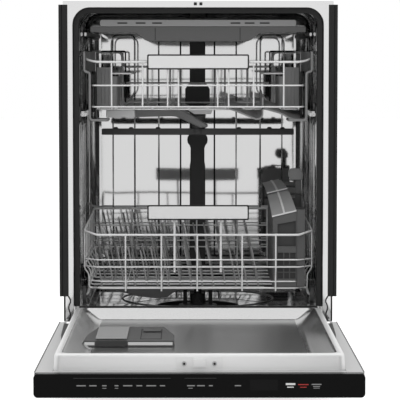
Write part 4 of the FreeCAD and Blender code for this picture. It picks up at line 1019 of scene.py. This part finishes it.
def detergent_lid():
    """Sliding lid with a fine line across its rear."""
    corners = [(-204, -433), (-142, -433), (-141, -294), (-203, -294)]
    lid = soften(prisms("dispenser_lid", dispenser_plate(corners, 1.6, 4.8)), 1)
    dress(lid, "detergent_lid", "lid_grey", "grey_plastic", "detergent_lid")
    line = prisms("dispenser_lid_line", dispenser_plate(rectangle(-202, -143, -302, -300), 4.7, 5.2))
    dress(line, "detergent_lid", "smoke_plastic", "grey_plastic")


def dispenser_trims():
    """Pale bar, a painted highlight of the lit front lip, and dark catch on the dispenser's front."""
    # Pale strip on the front lip: painted highlight.
    bars = [(x0, x1, -435.2, -433, 160, 166) for x0, x1 in ((-226, -206), (-140, -52))]
    dress(soften(blocks("dispenser_lip_highlight", *bars), 0.6), "door", "light_plastic", "grey_plastic")
    catch = soften(blocks("dispenser_catch", (-204, -142, -436, -433, 157, 169.5)), 0.8)
    dress(catch, "door", "foot_plastic", "grey_plastic")


def rinse_cap():
    """Rinse-aid cap and the fine black frame round it, painted shade of the gap."""
    cap_z = dispenser_top(-300) + 0.3
    outline = rounded_rectangle(-112, -76, -344, -308, 5)
    cap = soften(extrusion("rinse_cap_plate", "z", cap_z, cap_z + 1.6, outline), 0.6)
    dress(cap, "rinse_cap", "grey_plastic", "grey_plastic", "rinse_cap")
    # Black lines round the cap: painted shade of the gap.
    x0, x1, y0, y1 = -116, -74, -421, -303
    left, right, end = x0 + 1.4, x1 - 1.4, 2.5
    uprights = [rectangle(x0, left, y0, y1), rectangle(right, x1, y0, y1)]
    ends = [rectangle(left, right, y, y + end) for y in (y0, y1 - end)]
    frame_lines = [dispenser_plate(outline, -0.5, 0.4) for outline in uprights + ends]
    dress(prisms("rinse_cap_gap_shade", *frame_lines), "door", "painted_recess_shade", "grey_plastic")


# Cabinet

# Finishes of the solids that show as they are
FINISHES = {
    "tub_steel": ("tub_wrapper",),
    "floor_steel": ("tub_floor",),
    "door_steel": ("door_outer_panel",),
    "satin_steel": ("latch_bolt",),
    "rail_steel": ("upper_rails",),
    "strip_trim": ("third_rack_trim",),
    "zinc_steel": ("base_frame", "hinge_brackets", "hinge_arms", "counter_brackets", "latch_strike",
                   "junction_box", "door_screws"),
    "gasket_rubber": ("door_gasket", "door_bottom_seal"),
    "black_trim": ("side_trims", "toe_panel"),
    "black_panel": ("control_panel", "pocket_handle"),
    "circuit_board": ("control_board",),
    "blanket": ("tub_insulation",),
    "foot_plastic": ("leveling_feet",),
    "dark_plastic": ("sump", "circulation_pump", "drain_pump", "upper_adjusters"),
    "arm_plastic": ("lower_spray_arm", "mid_spray_arm", "ceiling_spray_rotor"),
    "white_plastic": ("inlet_valve", "overflow_float"),
    "grey_plastic": ("upper_rack_rollers", "third_rack_rollers", "lower_wheels_front", "lower_wheels_rear"),
}
# Width of their eased edges, and of those that are rounder
EDGE = 0.5
ROUNDER_EDGES = {"control_panel": 1.6, "door_outer_panel": 1.2, "lower_spray_arm": 2.5, "mid_spray_arm": 2.5,
                 "ceiling_spray_rotor": 1.5, "third_rack_trim": 1.0, "lower_wheels_front": 1.2,
                 "lower_wheels_rear": 1.2, "side_trims": 0.8, "door_gasket": 2.0, "toe_panel": 1.0}


def finish_solids():
    """A finish and eased edges on every solid that shows as it is."""
    for finish, names in FINISHES.items():
        for name in names:
            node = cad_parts[name]
            node.data.materials.clear()
            node.data.materials.append(look[finish])
            soften(node, ROUNDER_EDGES.get(name, EDGE))


def water_conduit():
    """Dark duct up the rear wall and along the ceiling, with a socket for the upper rack and a coupling."""
    low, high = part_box("feed_conduit")
    front, rear = behind_flange(low.y), behind_flange(high.y)
    bottom, top = low.z / MM, high.z / MM
    thick, half = 17.0, 19.0
    coupling = [(17, 474), (17, 508), (half, 514), (24, 521), (25, 528), (24, 534), (20, 539)]
    socket = [(half, 580), (half, 612), (30, 615), (30, 652), (half, 668)]
    side = [(half, bottom), (half, 462), *coupling, *socket, (half, top - thick)]
    duct = soften(extrusion("water_conduit", "y", rear - thick, rear, across(side)), 2, 3)
    dress(duct, "cabinet", "conduit_plastic", "dark_plastic", "feed_conduit")
    roof = soften(blocks("ceiling_conduit", (-half, half, front, rear, top - thick + 1, top)), 2, 3)
    dress(roof, "cabinet", "dark_plastic", "dark_plastic")


def heater_ring():
    """Thin heater tube round the sump on four clips."""
    low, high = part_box("heater_element")
    middle = behind_flange((low.y + high.y) / 2)
    radius, level = 175.0, 168.0
    ring = circle(0, middle, level, radius, 72)
    routes = [ring + ring[:1]]
    for degrees in (-107, -73, 73, 107):
        x = radius * math.cos(math.radians(degrees))
        y = middle + radius * math.sin(math.radians(degrees))
        routes.append([(x, y, low.z / MM + 0.2), (x, y, level)])
    tube = wires("heater_ring", routes, 2.2, 3)
    dress(tube, "cabinet", "heater_steel", "heater_steel", "heater_element")


def lower_arm_keel():
    """Deeper belly under one half of the lower spray arm."""
    belly = [(-208, 196.5), (-180, 186), (-140, 175), (-100, 170.5), (-72, 173), (-48, 189)]
    other_half = [(0, 192.5), (56, 196.5), (56, 198), (-208, 198)]
    keel = soften(extrusion("lower_arm_keel", "y", 263, 307, belly + other_half), 2.5, 3)
    dress(keel, "lower_arm", "grey_plastic", "arm_plastic")


def filter_top():
    """Fine filter level with the floor, with a slim collar round the arm's post and two grip pegs."""
    low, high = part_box("filter_cylinder")
    middle = behind_flange((low.y + high.y) / 2)
    profile = ((40, low.z / MM), (42, 150), (45, 152), (44, 154), (20, 156), (17.5, 159), (17, 180))
    mesh = prisms("filter_mesh", [circle(0, middle, z, radius, 40) for radius, z in profile])
    dress(mesh, "filter", "dark_plastic", "dark_plastic", "filter_cylinder")
    pegs = soften(blocks("filter_pegs", *pair(25, 34, 281, 289, 154, 187)), 1)
    dress(pegs, "filter", "dark_plastic", "dark_plastic")


def sill_seal():
    """Dark strip along the tub's lower front edge."""
    strip = soften(blocks("sill_seal", (-262, 262, 20.8, 23.8, 151, 182)), 1)
    dress(strip, "cabinet", "gasket_rubber", "gasket_rubber")


def blanket_tapes():
    """Bands of foil tape round the sides and the rear of the blanket."""
    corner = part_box("tub_insulation")[1]
    half, rear = corner.x / MM, behind_flange(corner.y)
    front, width = 60, 46
    bands = []
    for z in (292.0, 618.0):
        bands += pair(half - 0.2, half + 0.5, front, rear, z, z + width)
        bands.append((-half - 0.5, half + 0.5, rear, rear + 0.6, z, z + width))
    dress(blocks("blanket_tapes", *bands), "cabinet", "foil_tape", "blanket")


def wall_beads():
    """Upright beads pressed into the tub's side walls."""
    low, high, wall = 245.0, 590.0, 271.4
    beads = [[(wall, y, low), (wall, y, high)] for y in (330.0, 400.0, 462.0)]
    dress(wires("side_wall_beads", both_sides(*beads), 2.4, 3), "cabinet", "tub_steel", "tub_steel")


def strike_slot_shade():
    """Black plates behind the two strike slots in the flange: painted shade."""
    slots = [(x - 2.9, x + 2.9, 1.0, 1.4, 840.6, 846.9) for x in (-6.0, 6.0)]
    dress(blocks("strike_slot_shade", *slots), "cabinet", "painted_recess_shade", "zinc_steel")


def back_wall():
    """Mirror-bright rear wall with four pressed panels that have sloping flanks."""
    relief, flank = 3.2, 3.8
    width, panel_low, panel_high, radius = 57, 238, 785, 12
    low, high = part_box("tub_back_panel")
    wall_half, rear = high.x / MM, behind_flange(high.y)
    solids = [bar("y", rear, REAR_FACE, -wall_half, wall_half, low.z / MM, high.z / MM)]
    for x in (-208.5, -96.5, 39.5, 151.5):
        rings = []
        for inset, y in ((0, REAR_FACE), (flank, REAR_FACE - relief)):
            sides = (x + inset, x + width - inset, panel_low + inset, panel_high - inset)
            rings.append(along("y", rounded_rectangle(*sides, radius - inset), y))
        solids.append(rings)
    dress(prisms("back_wall_sheet", *solids), "cabinet", "mirror_steel", "tub_steel", "tub_back_panel")


def back_corner():
    """Rounded edge where the tub's walls and ceiling run into the rear wall; its run under the ceiling is
    dark metal, painted shade.
    """
    radius, steps = 37.0, 12
    half, ceiling, floor, corner = 272.0, 835.5, 185.0, 37.0
    # Each stop of the route has its place (x, z) and the outward direction there.
    route = [(half, floor, 1, 0)]
    for nx, nz in quarter_turn(8):
        route.append((half - corner + corner * nx, ceiling - corner + corner * nz, nx, nz))
    route += [(-x, z, -nx, nz) for x, z, nx, nz in reversed(route)]
    shape = bmesh.new()
    rows = []
    for x, z, nx, nz in route:
        row = []
        for c, s in quarter_turn(steps):
            inset, back = radius - radius * c, radius - radius * s
            row.append(shape.verts.new(place(x - nx * inset, REAR_FACE - back, z - nz * inset)))
        rows.append(row)
    for one, two in zip(rows, rows[1:]):
        for i in range(steps):
            shape.faces.new((one[i], one[i + 1], two[i + 1], two[i]))
    piece = dress(mesh_object("tub_back_corner", shape), "cabinet", "corner_steel", "tub_steel")
    # The run under the ceiling takes the dark metal: painted shade.
    piece.data.materials.append(look["ceiling_painted_shade"])
    for face in piece.data.polygons[steps:-steps]:
        face.material_index = 1


# Stage, in metres


def plain_floor():
    """Pale floor that keeps the machine's shadow and is mirrored as plain white."""
    bpy.ops.mesh.primitive_plane_add(size=40, location=(0, 0, 0))
    floor = bpy.context.object
    floor.name = "floor"
    material = surface("floor_white", 0.9, 0.8)
    tree = material.node_tree
    shader = tree.nodes["Principled BSDF"]
    path = add_node(tree, "LightPath")
    glow = calculate(tree, "MULTIPLY", path.outputs["Is Camera Ray"], 0.5)
    feed(tree, shader.inputs["Emission Color"], WHITE)
    feed(tree, shader.inputs["Emission Strength"], glow)
    white = add_node(tree, "Emission")
    blend = add_node(tree, "MixShader")
    feed(tree, blend.inputs[0], path.outputs["Is Glossy Ray"])
    feed(tree, blend.inputs[1], shader.outputs["BSDF"])
    feed(tree, blend.inputs[2], white.outputs["Emission"])
    feed(tree, tree.nodes["Material Output"].inputs["Surface"], blend.outputs["Shader"])
    floor.data.materials.append(material)


def dark_cards():
    """Two dark boards beside the camera that only the bright steel shows."""
    width, beside, before, height = 2.6, 1.85, 2.6, 1.0
    material = surface("card_black", 0.01, 0.9)
    for name, side in (("card_left", -1), ("card_right", 1)):
        bpy.ops.mesh.primitive_plane_add(size=1, location=(side * beside, FLANGE_Y - before, height))
        card = bpy.context.object
        card.name = name
        card.scale = (width, width, 1)
        card.rotation_euler = (math.radians(90), 0, 0)
        card.data.materials.append(material)
        card.visible_camera = False
        card.visible_diffuse = False
        card.visible_shadow = False


def studio_world():
    """Even soft light, seen as plain white."""
    world = bpy.data.worlds.new("studio")
    bpy.context.scene.world = world
    world.use_nodes = True
    tree = world.node_tree
    background = tree.nodes["Background"]
    path = add_node(tree, "LightPath")
    seen = calculate(tree, "MAXIMUM", path.outputs["Is Camera Ray"], path.outputs["Is Glossy Ray"])
    strength = add_node(tree, "MapRange", Value=seen, To_Min=0.65, To_Max=1.0)
    feed(tree, background.inputs["Color"], WHITE)
    feed(tree, background.inputs["Strength"], strength.outputs["Result"])


def aim(name, data, location, target):
    """Puts a lamp or camera in its place and turns it to a point."""
    holder = bpy.data.objects.new(name, data)
    holder.location = location
    holder.rotation_euler = (Vector(target) - Vector(location)).to_track_quat("-Z", "Y").to_euler()
    bpy.context.scene.collection.objects.link(holder)
    return holder


def lamp(name, location, target, size, power):
    """Soft square lamp aimed at a point."""
    light = bpy.data.lights.new(name, "AREA")
    light.shape = "SQUARE"
    light.size = size
    light.energy = power
    aim(name, light, location, target).visible_glossy = False


def camera():
    """Long lens at the height of the upper rack, aimed a little down."""
    data = bpy.data.cameras.new("camera")
    data.sensor_width = 36.0
    data.lens = 180.2
    data.dof.use_dof = False
    bpy.context.scene.camera = aim("camera", data, place(-13.4, -4360, 721.2), place(4, 0, 417.4))


metal_finishes()
plastic_finishes()
panel_finishes()
finish_solids()
water_conduit()
heater_ring()
lower_arm_keel()
filter_top()
strike_slot_shade()
sill_seal()
blanket_tapes()
wall_beads()
back_wall()
back_corner()
third_rack_front()
third_rack_wires()
upper_rack_wires()
upper_rack_corners()
upper_rack_screens()
upper_rack_bowl()
glass_rods()
cup_shelf("cup_shelf_right", 1)
cup_shelf("cup_shelf_left", -1)
rack_handle("upper_handle", "upper_rack", 702, 734, "upper_rack_handle")
upper_rack_feed()
runner_caps("upper_rail_caps", "upper_rails", "rail_steel", 42, 602.5)
runner_caps("third_runner_caps", "third_rack", "wire", 50, 778.5)
arm_jets("mid_arm_jets", "mid_arm", 275, 564, (-190, -154, -92, 95, 166, 196))
arm_jets("lower_arm_jets", "lower_arm", 285, 210, (-190, -130, -80, 85, 140, 198))
lower_rack_wires()
lower_rack_posts()
rack_handle("lower_handle", "lower_rack", 372, 404, "lower_rack_handle")
tine_row("fixed_tines", "lower_rack", (-40.0, 60.0))
tine_row("folding_tines_left", "tines_left", (-190.0,))
tine_row("folding_tines_right", "tines_right", (-115.0,))
cross_tines()
basket_body()
basket_handle()
basket_lid("basket_lid_front", 42.5, 182.0)
basket_lid("basket_lid_rear", 199.5, 339.0)
door_liner()
door_flange()
liner_front_plate()
control_marks()
dispenser_housing()
detergent_lid()
dispenser_trims()
rinse_cap()
plain_floor()
dark_cards()
studio_world()
lamp("front_lamp", (-0.6, FLANGE_Y - 3.2, 2.3), (0, FLANGE_Y, 0.5), 3.4, 34)
lamp("top_lamp", (0.4, FLANGE_Y - 0.8, 3.0), (0, FLANGE_Y - 0.2, 0.3), 3.0, 30)
lamp("wall_glow", place(0, 536, 470), place(0, 0, 470), 0.46, 0.14)
camera()

scene = bpy.context.scene
scene.view_settings.view_transform = "Standard"
